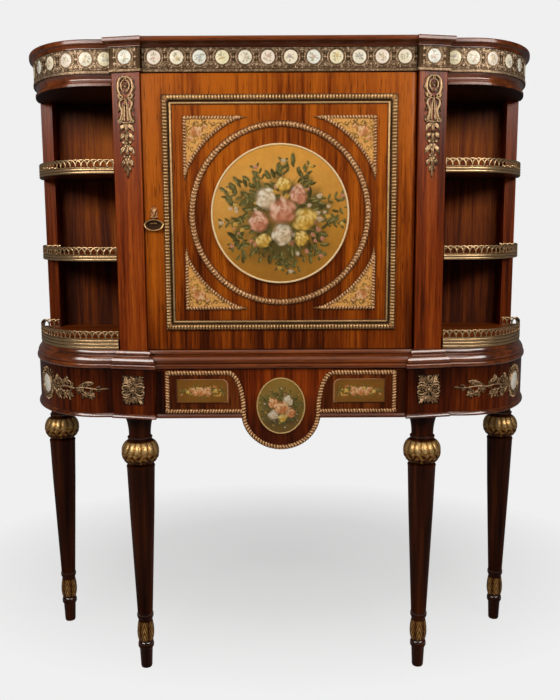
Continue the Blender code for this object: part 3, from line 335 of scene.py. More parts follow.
# The frieze's rounded ends get painted light: their tone is raised above the middle's.
frieze_bronze = chased_bronze("frieze_bronze", (0.060, 0.032, 0.013), (0.168, 0.101, 0.052),
                              (0.50, 0.36, 0.235), 0.65, speckle=1.4, grit=220.0, painted_end_light=0.2)
old_bronze = chased_bronze("old_bronze", (0.012, 0.005, 0.0025), (0.085, 0.043, 0.019), (0.50, 0.325, 0.175),
                           0.72, speckle=1.9, grit=200.0)
rose_bronze = chased_bronze("rose_bronze", (0.062, 0.021, 0.005), (0.285, 0.122, 0.043), (0.88, 0.545, 0.275),
                            0.5, speckle=1.1, grit=260.0)
brass = chased_bronze("rim_brass", (0.050, 0.026, 0.012), (0.22, 0.125, 0.056), (0.66, 0.44, 0.23),
                      0.85, 0.28)
bright_gilt = chased_bronze("bright_gilding", (0.30, 0.17, 0.06), (0.66, 0.41, 0.15), (0.97, 0.75, 0.42),
                            0.2, 0.26)
porcelain = painted("painted_porcelain")

# %% [markdown]
# ## Surfaces from arrays
#
# Almost every piece here is a run of closed outlines joined by quads: a board is a plan outline at
# several heights, a scroll is a half-round section carried along a spiral, a turned leg is a circle at
# many heights. So one function joins rings, and one function turns the joined shapes into a Blender
# object: it merges seams and poles, turns the faces outwards, and keeps edges sharper than an angle
# crisp. A shape is three things: points, lists of faces, and the relief value of each point.

# %% Lofts and pieces
def loft(rings, relief=1.0, closed=False):
    """A solid through rings, an array (n, k, 3): quads join each ring to the next one.
    An open run gets a flat face at both ends; a closed run joins its last ring to its first."""
    count, size = rings.shape[:2]
    ring = np.arange(count if closed else count - 1)[:, None]
    spot = np.arange(size)[None, :]
    here, there = ring * size, (ring + 1) % count * size
    beside = (spot + 1) % size
    quads = np.stack([here + spot, here + beside, there + beside, there + spot], axis=-1).reshape(-1, 4)
    faces = [quads]
    if not closed:
        end = np.arange(size)[None]
        faces += [end[:, ::-1], end + (count - 1) * size]
    return rings.reshape(-1, 3), faces, np.broadcast_to(relief, (count, size)).reshape(-1).astype(float)


def joined_mesh(name, shapes, paint):
    """One mesh from many shapes, with its relief, and its paint where it has any."""
    points = np.concatenate([shape[0] for shape in shapes])
    starts = np.cumsum([0] + [len(shape[0]) for shape in shapes[:-1]])
    faces = [part + start for shape, start in zip(shapes, starts) for part in shape[1]]
    corners = np.concatenate([part.reshape(-1) for part in faces]).astype(np.int32)
    sizes = np.concatenate([np.full(len(part), part.shape[1]) for part in faces])
    mesh = bpy.data.meshes.new(name)
    mesh.vertices.add(len(points))
    mesh.vertices.foreach_set("co", points.astype(np.float32).ravel())
    mesh.loops.add(len(corners))
    mesh.loops.foreach_set("vertex_index", corners)
    mesh.polygons.add(len(sizes))
    mesh.polygons.foreach_set("loop_start", (np.cumsum(sizes) - sizes).astype(np.int32))
    mesh.update(calc_edges=True)
    relief = np.concatenate([shape[2] for shape in shapes])
    mesh.attributes.new("relief", "FLOAT", "POINT").data.foreach_set("value", relief.astype(np.float32))
    if paint is not None:
        rgba = np.column_stack([paint, np.ones(len(paint))]).astype(np.float32)
        mesh.attributes.new("paint", "FLOAT_COLOR", "POINT").data.foreach_set("color", rgba.ravel())
    return mesh


def close_and_turn_out(mesh):
    work = bmesh.new()
    work.from_mesh(mesh)
    bmesh.ops.remove_doubles(work, verts=work.verts, dist=2e-6)
    bmesh.ops.recalc_face_normals(work, faces=work.faces)
    work.to_mesh(mesh)
    work.free()


def piece(name, body, slot, material, shapes, stands_for=(), crease=38.0, paint=None):
    """Join shapes into one object that rides on a body and stands for CAD nodes."""
    mesh = joined_mesh(name, shapes, paint)
    close_and_turn_out(mesh)
    mesh.shade_smooth()
    mesh.set_sharp_from_angle(angle=math.radians(crease))
    made = bpy.data.objects.new(name, mesh)
    made.data.materials.append(material)
    bpy.context.collection.objects.link(made)
    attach(made, body)
    if stands_for:
        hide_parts(*stands_for)
    print(name, len(mesh.polygons), "faces")


def flipped(shape, signs=(-1.0, 1.0, 1.0)):
    """The same shape with some axes reversed: by default, on the other side of the middle."""
    return shape[0] * signs, shape[1], shape[2]


def side_pieces(stem, slot, material, shapes, node="", **extra):
    """A left and a right piece from right-hand shapes. Node: the stem of the CAD nodes they stand for."""
    for word, side in (("left", [flipped(shape) for shape in shapes]), ("right", shapes)):
        piece(stem + word, "cabinet", slot, material, side, [node + word] if node else (), **extra)


# %% [markdown]
# ## The plan of the case
#
# Seen from above, the front is straight in the middle, breaks forward over the two canted pilasters,
# and ends in a quarter ellipse at each side. Every board, frieze and rail is that one line moved in
# or out. The line is a function of three projections, one for the middle, one for the
# blocks and one for the rounded ends, so each board can have its own.

# %% Plan outline
CANT = math.tan(math.radians(12))
CENTRE_Y, BLOCK_Y, END_Y = BACK - 0.283, BACK - 0.2945, BACK - 0.2685
BLOCK_IN, BLOCK_OUT = 0.259, 0.319776
BLOCK_X = (BLOCK_IN + BLOCK_OUT) / 2
END_X, END_WIDE, END_DEEP = BLOCK_OUT + 0.040, 0.165, 0.2685
LOWER_CENTRE, LOWER_BLOCK, LOWER_END = 0.012, 0.0105, 0.0145
HEAD_IN, HEAD_OUT = BLOCK_IN - LOWER_BLOCK, BLOCK_OUT + LOWER_BLOCK
POST_FACE, GAP, APRON_HIGH = BACK - 0.0503, 0.0003, 0.0932
APRON_BOTTOM, WAIST_Z, CASE_Z = 0.5535, 0.647, 0.682
FRIEZE_Z, CORNICE_Z, TOP_Z = 1.2083, 1.2535, cad_high.z


def block_y(x, out):
    """The canted block face: it falls back by tan(12 degrees) for each metre outwards."""
    return BLOCK_Y - out + (x - BLOCK_IN) * CANT


def end_line(out, stop=BACK, steps=40):
    """The right rounded end: x = END_X + a sin(t), y = BACK - b cos(t), from its front tangent to y =
    stop."""
    last = math.acos((BACK - stop) / (END_DEEP + out))
    turn = np.linspace(0.0, last, steps + 1)
    return np.column_stack([END_X + (END_WIDE + out) * np.sin(turn),
                            BACK - (END_DEEP + out) * np.cos(turn)])


def half_plan(centre, block, end, inward=1.0, outward=1.0):
    """Right half; the block's sides step out by the shares `inward` and `outward` of its projection."""
    inner, outer = BLOCK_IN - inward * block, BLOCK_OUT + outward * block
    front = [(inner, CENTRE_Y - centre), (inner, block_y(inner, block)), (outer, block_y(outer, block)),
             (outer, END_Y - end)]
    return np.concatenate([front, end_line(end)])


def plan(centre, block, end, inward=1.0, outward=1.0):
    """The whole front from the left back corner round to the right one."""
    right = half_plan(centre, block, end, inward, outward)
    return np.concatenate([right[::-1] * (-1.0, 1.0), right])


def at_height(outline, z):
    return np.column_stack([outline, np.full(len(outline), z)])


def arc(centre, radii, start, end, steps):
    """Points of an ellipse arc, in degrees: centre + radii * (cos, sin)."""
    turn = np.radians(np.linspace(start, end, steps + 1))
    return np.asarray(centre) + np.column_stack([np.cos(turn), np.sin(turn)]) * radii


def moulded(outline, profile, base, axis=0, relief=1.0):
    """A moulding: the plan outline(out) stands at base + up for each (out, up) of its profile.
    Axis 0 piles whole plans into a solid; axis 1 carries the section along a plan that isn't closed."""
    return loft(np.stack([at_height(outline(out), base + up) for out, up in profile], axis=axis), relief)


print("plan outline has", len(plan(0, 0, 0)), "points")

# %% [markdown]
# ## Cornice and waist
#
# The top board has a hollow under a round nose, and the waist board has a lip, a bold round and a small
# ledge. Each is a moulding profile: pairs of how far out and how high. Carrying the plan outline
# through the profile gives mitred corners at the blocks for nothing, which a Bevel modifier
# couldn't do on a plan that steps in and out.

# %% Top board and waist board
hollow = arc((0.60, 0.05), (0.50, 0.38), 180, 90, 7)
nose = np.concatenate([arc((0.88, 0.60), (0.11, 0.13), -88, 0, 6),
                       arc((0.88, 0.85), (0.12, 0.14), 0, 88, 6)])
cornice = np.concatenate([[(0.0, 0.0), (0.10, 0.02)], hollow, [(0.80, 0.455)], nose, [(0.80, 1.0)]])
cornice_rings = np.stack([at_height(plan(0.021 * out, 0.0135 * out, 0.008 * out, 0.2, 0.7),
                                    CORNICE_Z + (TOP_Z - CORNICE_Z) * up) for out, up in cornice])
piece("top_board_moulded", "cabinet", "mahogany", cornice_wood, [loft(cornice_rings)], ["top_board"])

lip = arc((0.0030, 0.0042), (0.0015, 0.0042), -90, 90, 8)
under = arc((-0.0030, 0.0140), (0.0050, 0.0050), -62, 20, 8)
slope = np.array([(0.0008, 0.0178), (-0.0002, 0.0200), (-0.0013, 0.0218), (-0.0027, 0.0232),
                  (-0.0046, 0.0240)])
ledge = [(-0.0082, 0.0247), (-0.0082, 0.0277), (-0.0056, 0.0287), (-0.0062, 0.0312), (-0.0072, 0.0336),
         (-0.0082, 0.0350)]
waist = np.concatenate([[(0.0010, 0.0)], lip, [(-0.0005, 0.0092), (-0.0022, 0.0102)], under, slope, ledge])
waist_rings = np.stack([at_height(plan(LOWER_CENTRE + out, LOWER_BLOCK + out, LOWER_END + out),
                                  WAIST_Z + up) for out, up in waist])
piece("waist_board_moulded", "cabinet", "mahogany", board_wood, [loft(waist_rings)], ["waist_board"])

# %% [markdown]
# ## Frieze ends, pilasters and aprons
#
# Under the bronze band each rounded end has a small cyma, a double curve of hollow and round. The
# pilasters are canted uprights, and the aprons carry a sloping moulding that hangs a little below
# them. A sharp corner never catches the light, so the pilaster's corners are replaced by short
# curves: each is a quadratic curve from one edge to the next, bent towards the corner.

# %% Rounded corners
def rounded(corners, radius, steps=4):
    """Replace each corner C by (1-t)^2 A + 2t(1-t) C + t^2 B, where A and B lie on its two edges."""
    corners = np.asarray(corners, float)
    back = np.roll(corners, 1, axis=0) - corners
    ahead = np.roll(corners, -1, axis=0) - corners
    start = corners + back / np.linalg.norm(back, axis=1, keepdims=True) * radius
    stop = corners + ahead / np.linalg.norm(ahead, axis=1, keepdims=True) * radius
    t = np.linspace(0.0, 1.0, steps + 1)[None, :, None]
    curve = (1 - t) ** 2 * start[:, None] + 2 * t * (1 - t) * corners[:, None] + t ** 2 * stop[:, None]
    return curve.reshape(-1, 2)


# %% Frieze ends
def end_board(out, stop=POST_FACE):
    """Plan of a board that fills a rounded end, in front of the post and beside the case side."""
    start, inner, behind = BLOCK_OUT + GAP, 0.2803, BACK - 0.2457
    tail = [(0.4917, stop), (0.4917, BACK - 0.0123), (inner, BACK - 0.0123), (inner, behind),
            (start, behind)]
    return np.concatenate([[(start, END_Y - out)], end_line(out, stop), tail])


foot = FRIEZE_Z - 0.0223
cyma = np.array([(0.0000, -0.0040), (0.0010, -0.0022), (0.0056, -0.0020), (0.0064, -0.0026),
                 (0.0072, -0.0044), (0.0098, -0.0072), (0.0128, -0.0085), (0.0160, -0.0081),
                 (0.0188, -0.0066), (0.0208, -0.0042), (0.0223, -0.0025),
                 (CORNICE_Z - FRIEZE_Z + 0.0223 - GAP, -0.0025)])
side_pieces("frieze_end_moulded_", "mahogany", board_wood, [moulded(end_board, cyma[1:, ::-1], foot)],
            "frieze_end_")
# The underside of each frieze end takes the near-black wood: painted shade on the ceiling of the top niche.
side_pieces("frieze_end_underside_", "mahogany", underside_shade_wood, [moulded(end_board, cyma[:2, ::-1], foot)])

# %% Pilasters
def pilaster_outline(inner, outer, out):
    behind = BACK - 0.246
    return rounded([(inner, block_y(inner, out)), (outer, block_y(outer, out)), (outer, behind),
                    (inner, behind)], 0.0016)


shaft, block = pilaster_outline(0.262, 0.316776, -0.005), pilaster_outline(0.2615, 0.317276, -0.0025)
pilaster_rings = np.stack([at_height(outline, z) for outline, z in (
    (shaft, CASE_Z + GAP), (shaft, FRIEZE_Z), (block, FRIEZE_Z), (block, CORNICE_Z - GAP))])
side_pieces("pilaster_polished_", "mahogany", case_wood, [loft(pilaster_rings)], "pilaster_")

# %% Curved aprons
def smooth_slope(out, low, inner, top, steps=4):
    """A slightly swollen slope from (out, low) to (inner, top): the straight line plus a parabola of
    0.3 mm."""
    t = np.linspace(0.0, 1.0, steps + 1)
    return np.column_stack([out + (inner - out) * t + 0.0012 * t * (1 - t), low + (top - low) * t])


bead = np.concatenate([arc((0.0030, 0.0016), (0.0015, 0.0016), -88, 22, 5),
                       smooth_slope(0.0044, 0.0024, 0.0010, 0.0083), [(0.0, 0.0088)]])
apron_section = np.array([(-0.020, 0.0), (0.0, 0.0), (0.0, APRON_HIGH), (-0.020, APRON_HIGH)])
FOOT_DROP = 0.0055
foot_bead = bead - (0.0, FOOT_DROP)
foot_section = np.concatenate([[(-0.020, -FOOT_DROP)], foot_bead,
                               [(-0.002, 0.0088 - FOOT_DROP), (-0.002, 0.0002), (-0.020, 0.0002)]])
apron_start, apron_stop = HEAD_OUT + 0.0004, BACK - 0.0390 - 0.0383


def apron_line(out):
    """Plan of the curved apron: a short straight from the leg's head, then the rounded end."""
    return np.concatenate([[(apron_start, END_Y - LOWER_END - out)], end_line(LOWER_END + out, apron_stop)])


side_pieces("apron_end_veneered_", "mahogany", apron_wood,
            [moulded(apron_line, apron_section, APRON_BOTTOM, 1)], "apron_end_")
side_pieces("apron_foot_moulded_", "mahogany", board_wood,
            [moulded(apron_line, foot_section, APRON_BOTTOM, 1)])

# %% [markdown]
# ## The middle apron and its pendant
#
# The middle apron is one board whose foot dips into a shaped pendant. Its outline is drawn once:
# two straight feet meet half an ellipse. Four copies of the outline, the outer ones
# pulled in a little, give the board its eased edges.

# %% Middle apron
APRON_FACE, SPRING = CENTRE_Y - LOWER_CENTRE, APRON_BOTTOM + 0.004


def eased(outline, depth, ease):
    """Rings of a flat board in (x, z, h): its outline, moved in by `ease` along its normals at both
    faces."""
    run = np.roll(outline, -1, axis=0) - np.roll(outline, 1, axis=0)
    run /= np.linalg.norm(run, axis=1, keepdims=True)
    inward = np.column_stack([-run[:, 1], run[:, 0]])
    levels = ((0.0, ease), (ease, 0.0), (depth - ease, 0.0), (depth, ease))
    return np.stack([np.column_stack([outline + inward * pull, np.full(len(outline), h)])
                     for h, pull in levels])


def facing(x, y, z):
    """Rule that stands a shape made in (across, up, out) on the front: x + across, y - out, z + up."""
    def rule(points):
        return np.column_stack([x + points[:, 0], y - points[:, 2], z + points[:, 1]])
    return rule


def set_on(rule, shape):
    return rule(shape[0]), shape[1], shape[2]


apron_half = HEAD_IN - 0.0004
bowl = arc((0.0, SPRING), (0.0785, 0.0745), -3.4, -90, 26)
right_edge = np.concatenate([[(apron_half, WAIST_Z - GAP), (apron_half, APRON_BOTTOM)], bowl])
apron_outline = np.concatenate([right_edge[::-1], right_edge[:-1] * (-1.0, 1.0)])
apron_board = set_on(facing(0.0, APRON_FACE + 0.020, 0.0), loft(eased(apron_outline, 0.020, 0.0012)))
bead_bar = np.stack([np.column_stack([np.full(len(foot_section), x), APRON_FACE - foot_section[:, 0],
                                      APRON_BOTTOM + foot_section[:, 1]])
                     for x in (0.0770, apron_half - 0.0044)])
piece("apron_centre_veneered", "cabinet", "mahogany", pendant_wood, [apron_board], ["apron_centre"])
piece("apron_centre_foot", "cabinet", "mahogany", board_wood, [loft(bead_bar), flipped(loft(bead_bar))])

# %% [markdown]
# ## Turned and carved legs
#
# A leg is turned on a lathe and then carved: a hollow neck, a knop with gilded leaves, a long taper, a
# small carved bulb between two rings, and a toe. The turning is a radius for each height; the carving adds a
# small wave round the circle, so the leaves are part of the same surface. Where the leaves
# stand up, the relief value is high, and the finish turns from dark wood to worn gilding there.

# %% Leg finish: dark polish with worn gilding on the carving
def gilded_leg():
    leg = Finish("gilded_leg")
    place = leg.place()
    grain = leg.node("Mapping", {}, {"Vector": place, "Scale": UPRIGHT})
    ribbon = leg.noise(grain, 60.0, 4.0, 0.6)
    wood = leg.ramp(ribbon, (0.30, (0.008, 0.0022, 0.0012)), (0.52, (0.036, 0.0080, 0.0026)),
                    (0.78, (0.10, 0.024, 0.007)))
    wear = leg.noise(place, 340.0, 3.0, 0.7)
    patch = leg.noise(place, 70.0, 2.0)
    relief = leg.carried("relief")
    gilt = leg.ramp(relief + (wear - 0.5) * 0.5 + (patch - 0.5) * 0.3, (0.36, BLACK), (0.60, WHITE))
    gold = leg.ramp(relief * 0.8 + (wear - 0.5) * 0.6, (0.26, (0.085, 0.034, 0.009)),
                    (0.58, (0.34, 0.155, 0.036)), (0.92, (0.93, 0.66, 0.29)))
    height = leg.axis(place, "Z")
    shoulders = [abs(height - z) < reach
                 for z, reach in ((APRON_BOTTOM - 0.0520, 0.0015), (0.1200, 0.0020), (0.0560, 0.0030))]
    leg.dents(wear, 0.0003, 0.4)
    return leg.done(base_color=leg.mix(gilt, wood, gold), metallic=gilt * 0.7, roughness=0.30 + gilt * 0.08,
                    coat_weight=shoulders[0] + shoulders[1] + shoulders[2], coat_ior=1.9,
                    coat_roughness=0.14, specular_ior_level=0.06)


leg_finish = gilded_leg()

# %% Leg turning
def leg_turning():
    """Radius and relief over height and angle: r = r0(z) + leaf wave, on a grid of about 170 heights
    by 120 angles."""
    neck = arc((0.0360, APRON_BOTTOM - 0.050), (0.0140, 0.0460), 90, 180, 10)
    tilt = np.radians(np.linspace(64, -64, 56))
    knop = np.column_stack([0.0382 * np.cos(tilt) ** 0.6,
                            APRON_BOTTOM - 0.0845 + 0.0255 * np.sin(tilt) / math.sin(math.radians(64))])
    share = np.linspace(0.0, 1.0, 44)
    bulb = np.column_stack([0.0145 + 0.0031 * np.sin(np.pi * share ** 1.25) ** 0.8,
                            0.1060 - 0.0470 * share])
    outline = np.concatenate([[(0.0, APRON_BOTTOM + 0.004), (0.0360, APRON_BOTTOM + 0.004),
                               (0.0360, APRON_BOTTOM - 0.002), (0.0352, APRON_BOTTOM - 0.0040)], neck,
                              [(0.0236, APRON_BOTTOM - 0.0510), (0.0252, APRON_BOTTOM - 0.0526),
                               (0.0250, APRON_BOTTOM - 0.0548)], knop,
                              [(0.0284, 0.4412), (0.0289, 0.4398), (0.0288, 0.4384), (0.0282, 0.4365),
                               (0.0250, 0.3400), (0.0200, 0.2200), (0.0158, 0.1220), (0.0167, 0.1205),
                               (0.0173, 0.1170), (0.0170, 0.1130), (0.0156, 0.1090), (0.0143, 0.1070)],
                              bulb, [(0.0140, 0.0580), (0.0158, 0.0562), (0.0166, 0.0515), (0.0163, 0.0465),
                                     (0.0147, 0.0435), (0.0135, 0.0415), (0.0118, 0.0030), (0.0108, 0.0000),
                                     (0.0, 0.0)]])
    radius, z = outline[:, :1], outline[:, 1:]
    turn = np.linspace(0.0, 2 * np.pi, 120, endpoint=False)[None, :]
    up = (z - (APRON_BOTTOM - 0.0845)) / 0.0255
    on_knop = np.clip((1.0 - np.abs(up)) * 7.0, 0.0, 1.0)
    lobes = np.abs(np.cos(8 * turn + 0.25 * np.sin(2.2 * up))) ** 0.55
    eddy = 8.5 * up + 2.2 * np.cos(8 * turn)
    swirl = 0.5 + 0.5 * np.cos(8 * turn + 2.6 * np.sin(5.0 * up)) * np.cos(eddy)
    upper = np.clip((up + 0.15) / 0.5, 0.0, 1.0)
    chase = upper * lobes + (1 - upper) * swirl
    # The last term darkens the lower half of the knop: partly its browner chasing, partly painted shade below
    # its widest point.
    gilt = 0.44 + 0.60 * chase - 0.36 * np.clip(0.1 - up, 0.0, 1.0)
    on_bulb = np.clip(np.minimum(z - 0.0590, 0.1060 - z) / 0.004, 0.0, 1.0)
    blade = np.abs(np.sin(3 * turn)) ** 0.6
    rib = 0.5 + 0.5 * np.cos(8 * np.abs(np.arctan2(-np.cos(3 * turn), np.sin(3 * turn)))
                             + (z - 0.06) * 420.0)
    wave = on_knop * 0.0020 * (chase - 0.75) + on_bulb * 0.0011 * (0.6 * blade + 0.4 * rib - 0.7)
    relief = on_knop * np.clip(gilt, 0.0, 1.0) + on_bulb * (0.31 + 0.12 * blade + 0.50 * rib * blade)
    wide = np.maximum(radius + np.where(radius > 0, wave, 0.0), 0.0)
    return np.stack([wide * np.cos(turn), wide * np.sin(turn), z + 0 * turn], axis=-1), relief


turning, leg_relief = leg_turning()

# %% Square heads of the legs
FRONT_LEG, REAR_LEG = (BLOCK_X - 0.002, BACK - 0.252), (END_X + 0.143, BACK - 0.0390)


def front_head(out):
    inner, outer, behind = HEAD_IN - out, HEAD_OUT + out, FRONT_LEG[1] + 0.038
    return rounded([(inner, block_y(inner, LOWER_BLOCK + out)), (outer, block_y(outer, LOWER_BLOCK + out)),
                    (outer, behind), (inner, behind)], 0.0014)


def rear_head(out):
    front, inner = REAR_LEG[1] - 0.038, REAR_LEG[0] - 0.038
    turn = np.linspace(math.acos((BACK - front) / (END_DEEP + LOWER_END + out)), math.pi / 2, 10)
    curve = np.column_stack([END_X + (END_WIDE + LOWER_END + out) * np.sin(turn),
                             BACK - (END_DEEP + LOWER_END + out) * np.cos(turn)])
    return np.concatenate([[(inner, front)], curve, [(inner, BACK)]])


for place, head, name in ((FRONT_LEG, front_head, "leg_front_"), (REAR_LEG, rear_head, "leg_rear_")):
    carved = loft(turning + (*place, 0.0), leg_relief)
    side_pieces(name + "carved_", "dark_wood", leg_finish, [carved], name)
    square = moulded(head, ((0.0, 0.0), (0.0, APRON_HIGH)), APRON_BOTTOM)
    foot = moulded(head, foot_bead, APRON_BOTTOM)
    side_pieces(name + "head_", "mahogany", apron_wood, [square])
    side_pieces(name + "foot_moulding_", "mahogany", board_wood, [foot])

# %% [markdown]
# ## A vocabulary of ornament
#
# Cast mounts look endlessly varied, but they are built from a few marks: a tapering stroke along a
# curve, a scroll, a leaf with a rib, a bead. Each is made flat, in (across, up, out), and
# then set on the surface that carries it: a front face, a canted block, or a curved rail. A rule for
# each kind of surface bends the points, so the same leaf serves everywhere.

# %% Strokes, scrolls, leaves and beads
def sections(path):
    """Unit vectors square to a flat path (n, 2), from the differences of its neighbours."""
    run = np.gradient(path, axis=0)
    run /= np.linalg.norm(run, axis=1, keepdims=True)
    return np.column_stack([-run[:, 1], run[:, 0]])


def stroke(path, width, rise, sides=6, base=0.0, tone=(0.25, 1.0)):
    """A ridge along a path: each section is half an ellipse, `width` to each side and `rise` high,
    flat below."""
    path = np.asarray(path, float)
    turn = np.linspace(0.0, np.pi, sides)
    width = np.broadcast_to(width, len(path))[:, None]
    rise = np.broadcast_to(rise, len(path))[:, None]
    flat = path[:, None] + sections(path)[:, None] * (width * np.cos(turn))[..., None]
    points = np.concatenate([flat, (base + rise * np.sin(turn))[..., None]], axis=-1)
    relief = tone[0] + (tone[1] - tone[0]) * np.sin(turn)[None] * rise / rise.max()
    return loft(points, relief)


def scroll(centre, radius, start, turns, count=26):
    """A spiral that winds in from `radius` to its eye: the radius shrinks evenly while the angle grows."""
    t = np.linspace(0.0, 1.0, count)
    turn = np.radians(start) + 2 * np.pi * turns * t
    reach = radius * (1 - 0.82 * t)
    return np.asarray(centre) + np.column_stack([reach * np.cos(turn), reach * np.sin(turn)])


def taper(count, start, middle, end):
    """Width along a stroke: a parabola through three values."""
    t = np.linspace(0.0, 1.0, count)
    return start * (1 - t) * (1 - 2 * t) + 4 * middle * t * (1 - t) + end * t * (2 * t - 1)


def smooth(points, count=24):
    """A Catmull-Rom curve through a few points: each span is a cubic set by its two neighbours."""
    points = np.asarray(points, float)
    ends = np.concatenate([[2 * points[0] - points[1]], points, [2 * points[-1] - points[-2]]])
    place = np.linspace(0.0, len(points) - 1.000001, count)
    span = place.astype(int)
    t = (place - span)[:, None]
    a, b, c, d = (ends[span + k] for k in range(4))
    return 0.5 * (2 * b + (c - a) * t + (2 * a - 5 * b + 4 * c - d) * t ** 2
                  + (3 * b - a - 3 * c + d) * t ** 3)


def leaf(path, width, rise, lobes=0, sides=7, base=0.0):
    """A leaf along a path: half width w sin(pi u^0.8)^0.8, cut into lobes by a cosine, domed, with a
    sunk rib."""
    path = np.asarray(path, float)
    u = np.linspace(0.0, 1.0, len(path))
    wide = width * np.sin(np.pi * u ** 0.8) ** 0.8 * (1 - 0.28 * (0.5 - 0.5 * np.cos(2 * np.pi * lobes * u)))
    v = np.linspace(1.0, -1.0, sides)
    dome = (1 - v ** 2) * (1 - 0.5 * np.exp(-(v / 0.22) ** 2)) + 0.05
    flat = path[:, None] + sections(path)[:, None] * (wide[:, None] * v)[..., None]
    high = rise * np.sin(np.pi * np.clip(u, 0.03, 0.97))[:, None] ** 0.5 * dome
    points = np.concatenate([flat, (base + high)[..., None]], axis=-1)
    return loft(points, 0.2 + 0.8 * high / max(high.max(), 1e-9))


def beads(spots, radius, rise, around=8, base=0.0):
    """Many low domes at once: one unit dome (rings shrinking as cos, rising as sin) repeated at every
    spot."""
    spots = np.asarray(spots, float)
    lift = np.radians([0.0, 35.0, 68.0])[:, None]
    turn = np.linspace(0.0, 2 * np.pi, around, endpoint=False)[None]
    dome = np.stack([radius * np.cos(lift) * np.cos(turn), radius * np.cos(lift) * np.sin(turn),
                     rise * np.sin(lift) + 0 * turn], axis=-1)
    points, faces, relief = loft(dome, np.sin(lift) * 0.75 + 0.25)
    start = np.arange(len(spots))[:, None, None] * len(points)
    many = points[None] + np.column_stack([spots, np.full(len(spots), base)])[:, None]
    return (many.reshape(-1, 3), [(part[None] + start).reshape(-1, part.shape[1]) for part in faces],
            np.tile(relief, len(spots)))


def paired(shapes):
    return shapes + [flipped(shape) for shape in shapes]


def moved(shape, across=0.0, up=0.0, turn=0.0):
    """Turn a flat mark by an angle in degrees, then slide it."""
    c, s = math.cos(math.radians(turn)), math.sin(math.radians(turn))
    p = shape[0]
    return (np.column_stack([across + c * p[:, 0] - s * p[:, 1], up + s * p[:, 0] + c * p[:, 1], p[:, 2]]),
            shape[1], shape[2])


def flower(across, up, size, petals=5):
    """A ring of leaves about a bead."""
    petal = leaf(smooth([(0.0, 0.15 * size), (0.0, size)], 7), 0.42 * size, 0.35 * size, sides=5)
    around = [moved(petal, across, up, 360.0 * k / petals) for k in range(petals)]
    return around + [beads([(across, up)], 0.3 * size, 0.5 * size)]


# %% Rules that set ornament on a canted block and on a curved rail
def on_block(out, z):
    """Right block face: across runs along the cant from the middle of the face, out stands square to it."""
    lean = math.radians(12)
    run, square = np.array([math.cos(lean), math.sin(lean)]), np.array([math.sin(lean), -math.cos(lean)])
    middle = np.array([BLOCK_X, block_y(BLOCK_X, out)])

    def rule(points):
        flat = middle + points[:, :1] * run + points[:, 2:] * square
        return np.column_stack([flat, z + points[:, 1]])
    return rule


def on_rail(path, z):
    """Bend across onto a plan path by its length; out stands square to the path."""
    length = np.concatenate([[0.0], np.cumsum(np.linalg.norm(np.diff(path, axis=0), axis=1))])
    run = np.gradient(path, length, axis=0)
    run /= np.linalg.norm(run, axis=1, keepdims=True)

    def rule(points):
        spot = np.column_stack([np.interp(points[:, 0], length, path[:, k]) for k in (0, 1)])
        way = np.column_stack([np.interp(points[:, 0], length, run[:, k]) for k in (0, 1)])
        square = np.column_stack([way[:, 1], -way[:, 0]])
        return np.column_stack([spot + points[:, 2:] * square, z + points[:, 1]])
    return rule, length[-1]


# %% [markdown]
# ## The bronze frieze and its porcelain roundels
#
# The frieze is a thin cast strip: a ring round each roundel, scrolls in the corners, a flower between
# the rings, and a plain bright fillet below. Here the relief is a height over length and height on a
# dense grid, which suits a low casting that has no holes. A scroll in such a map is a
# cosine of the distance from its eye, turned once round by the angle. The roundels are small
# domes of their own, because they are porcelain.

# %% Frieze relief
PITCH = 0.0424
band_mid, band_low, band_high = 1.2355, FRIEZE_Z + GAP, CORNICE_Z - GAP


def bump(distance, width):
    return np.exp(-(distance / width) ** 2)


def frieze_height(t, up, half):
    """Height in metres at t along from the nearest roundel's middle and `up` from it; `half` is half
    the gap."""
    far = np.hypot(t, up)
    a, b = np.abs(t), np.abs(up)
    height = 0.0013 * bump(far - 0.0169, 0.0009) + 0.0010 * bump(far - 0.0143, 0.0006)
    for eye, size in (((half - 0.0040, 0.0130), 0.0062), ((0.0100, 0.0178), 0.0034)):
        da, db = a - eye[0], b - eye[1]
        reach, turn = np.hypot(da, db), np.arctan2(db, da)
        coil = 0.5 + 0.5 * np.cos(2 * np.pi * reach / 0.0029 - turn)
        height += 0.0013 * coil ** 1.2 * np.clip((size - reach) / 0.0010, 0.0, 1.0) * (far > 0.0181)
    da = a - half
    reach, turn = np.hypot(da, b), np.arctan2(b, da)
    height += 0.0014 * np.clip(1 - reach / (0.0032 + 0.0014 * np.cos(4 * turn)), 0.0, 1.0) ** 0.5
    stem = bump(da, 0.0007) * np.clip(b / 0.004 - 1, 0.0, 1.0)
    return np.where(far < 0.0136, 0.0004, height + 0.0007 * stem)


def half_gap(along, spots):
    """Nearest spot to each place, and half the distance from that spot to its neighbour on the same
    side."""
    spots = np.asarray(spots, float)
    near = np.abs(along - spots[None]).argmin(axis=1)
    padded = np.concatenate([[spots[0] - PITCH], spots, [spots[-1] + PITCH]])
    beyond = np.where(along[:, 0] > spots[near], padded[near + 2] - spots[near], spots[near] - padded[near])
    return spots[near][:, None], beyond[:, None] / 2


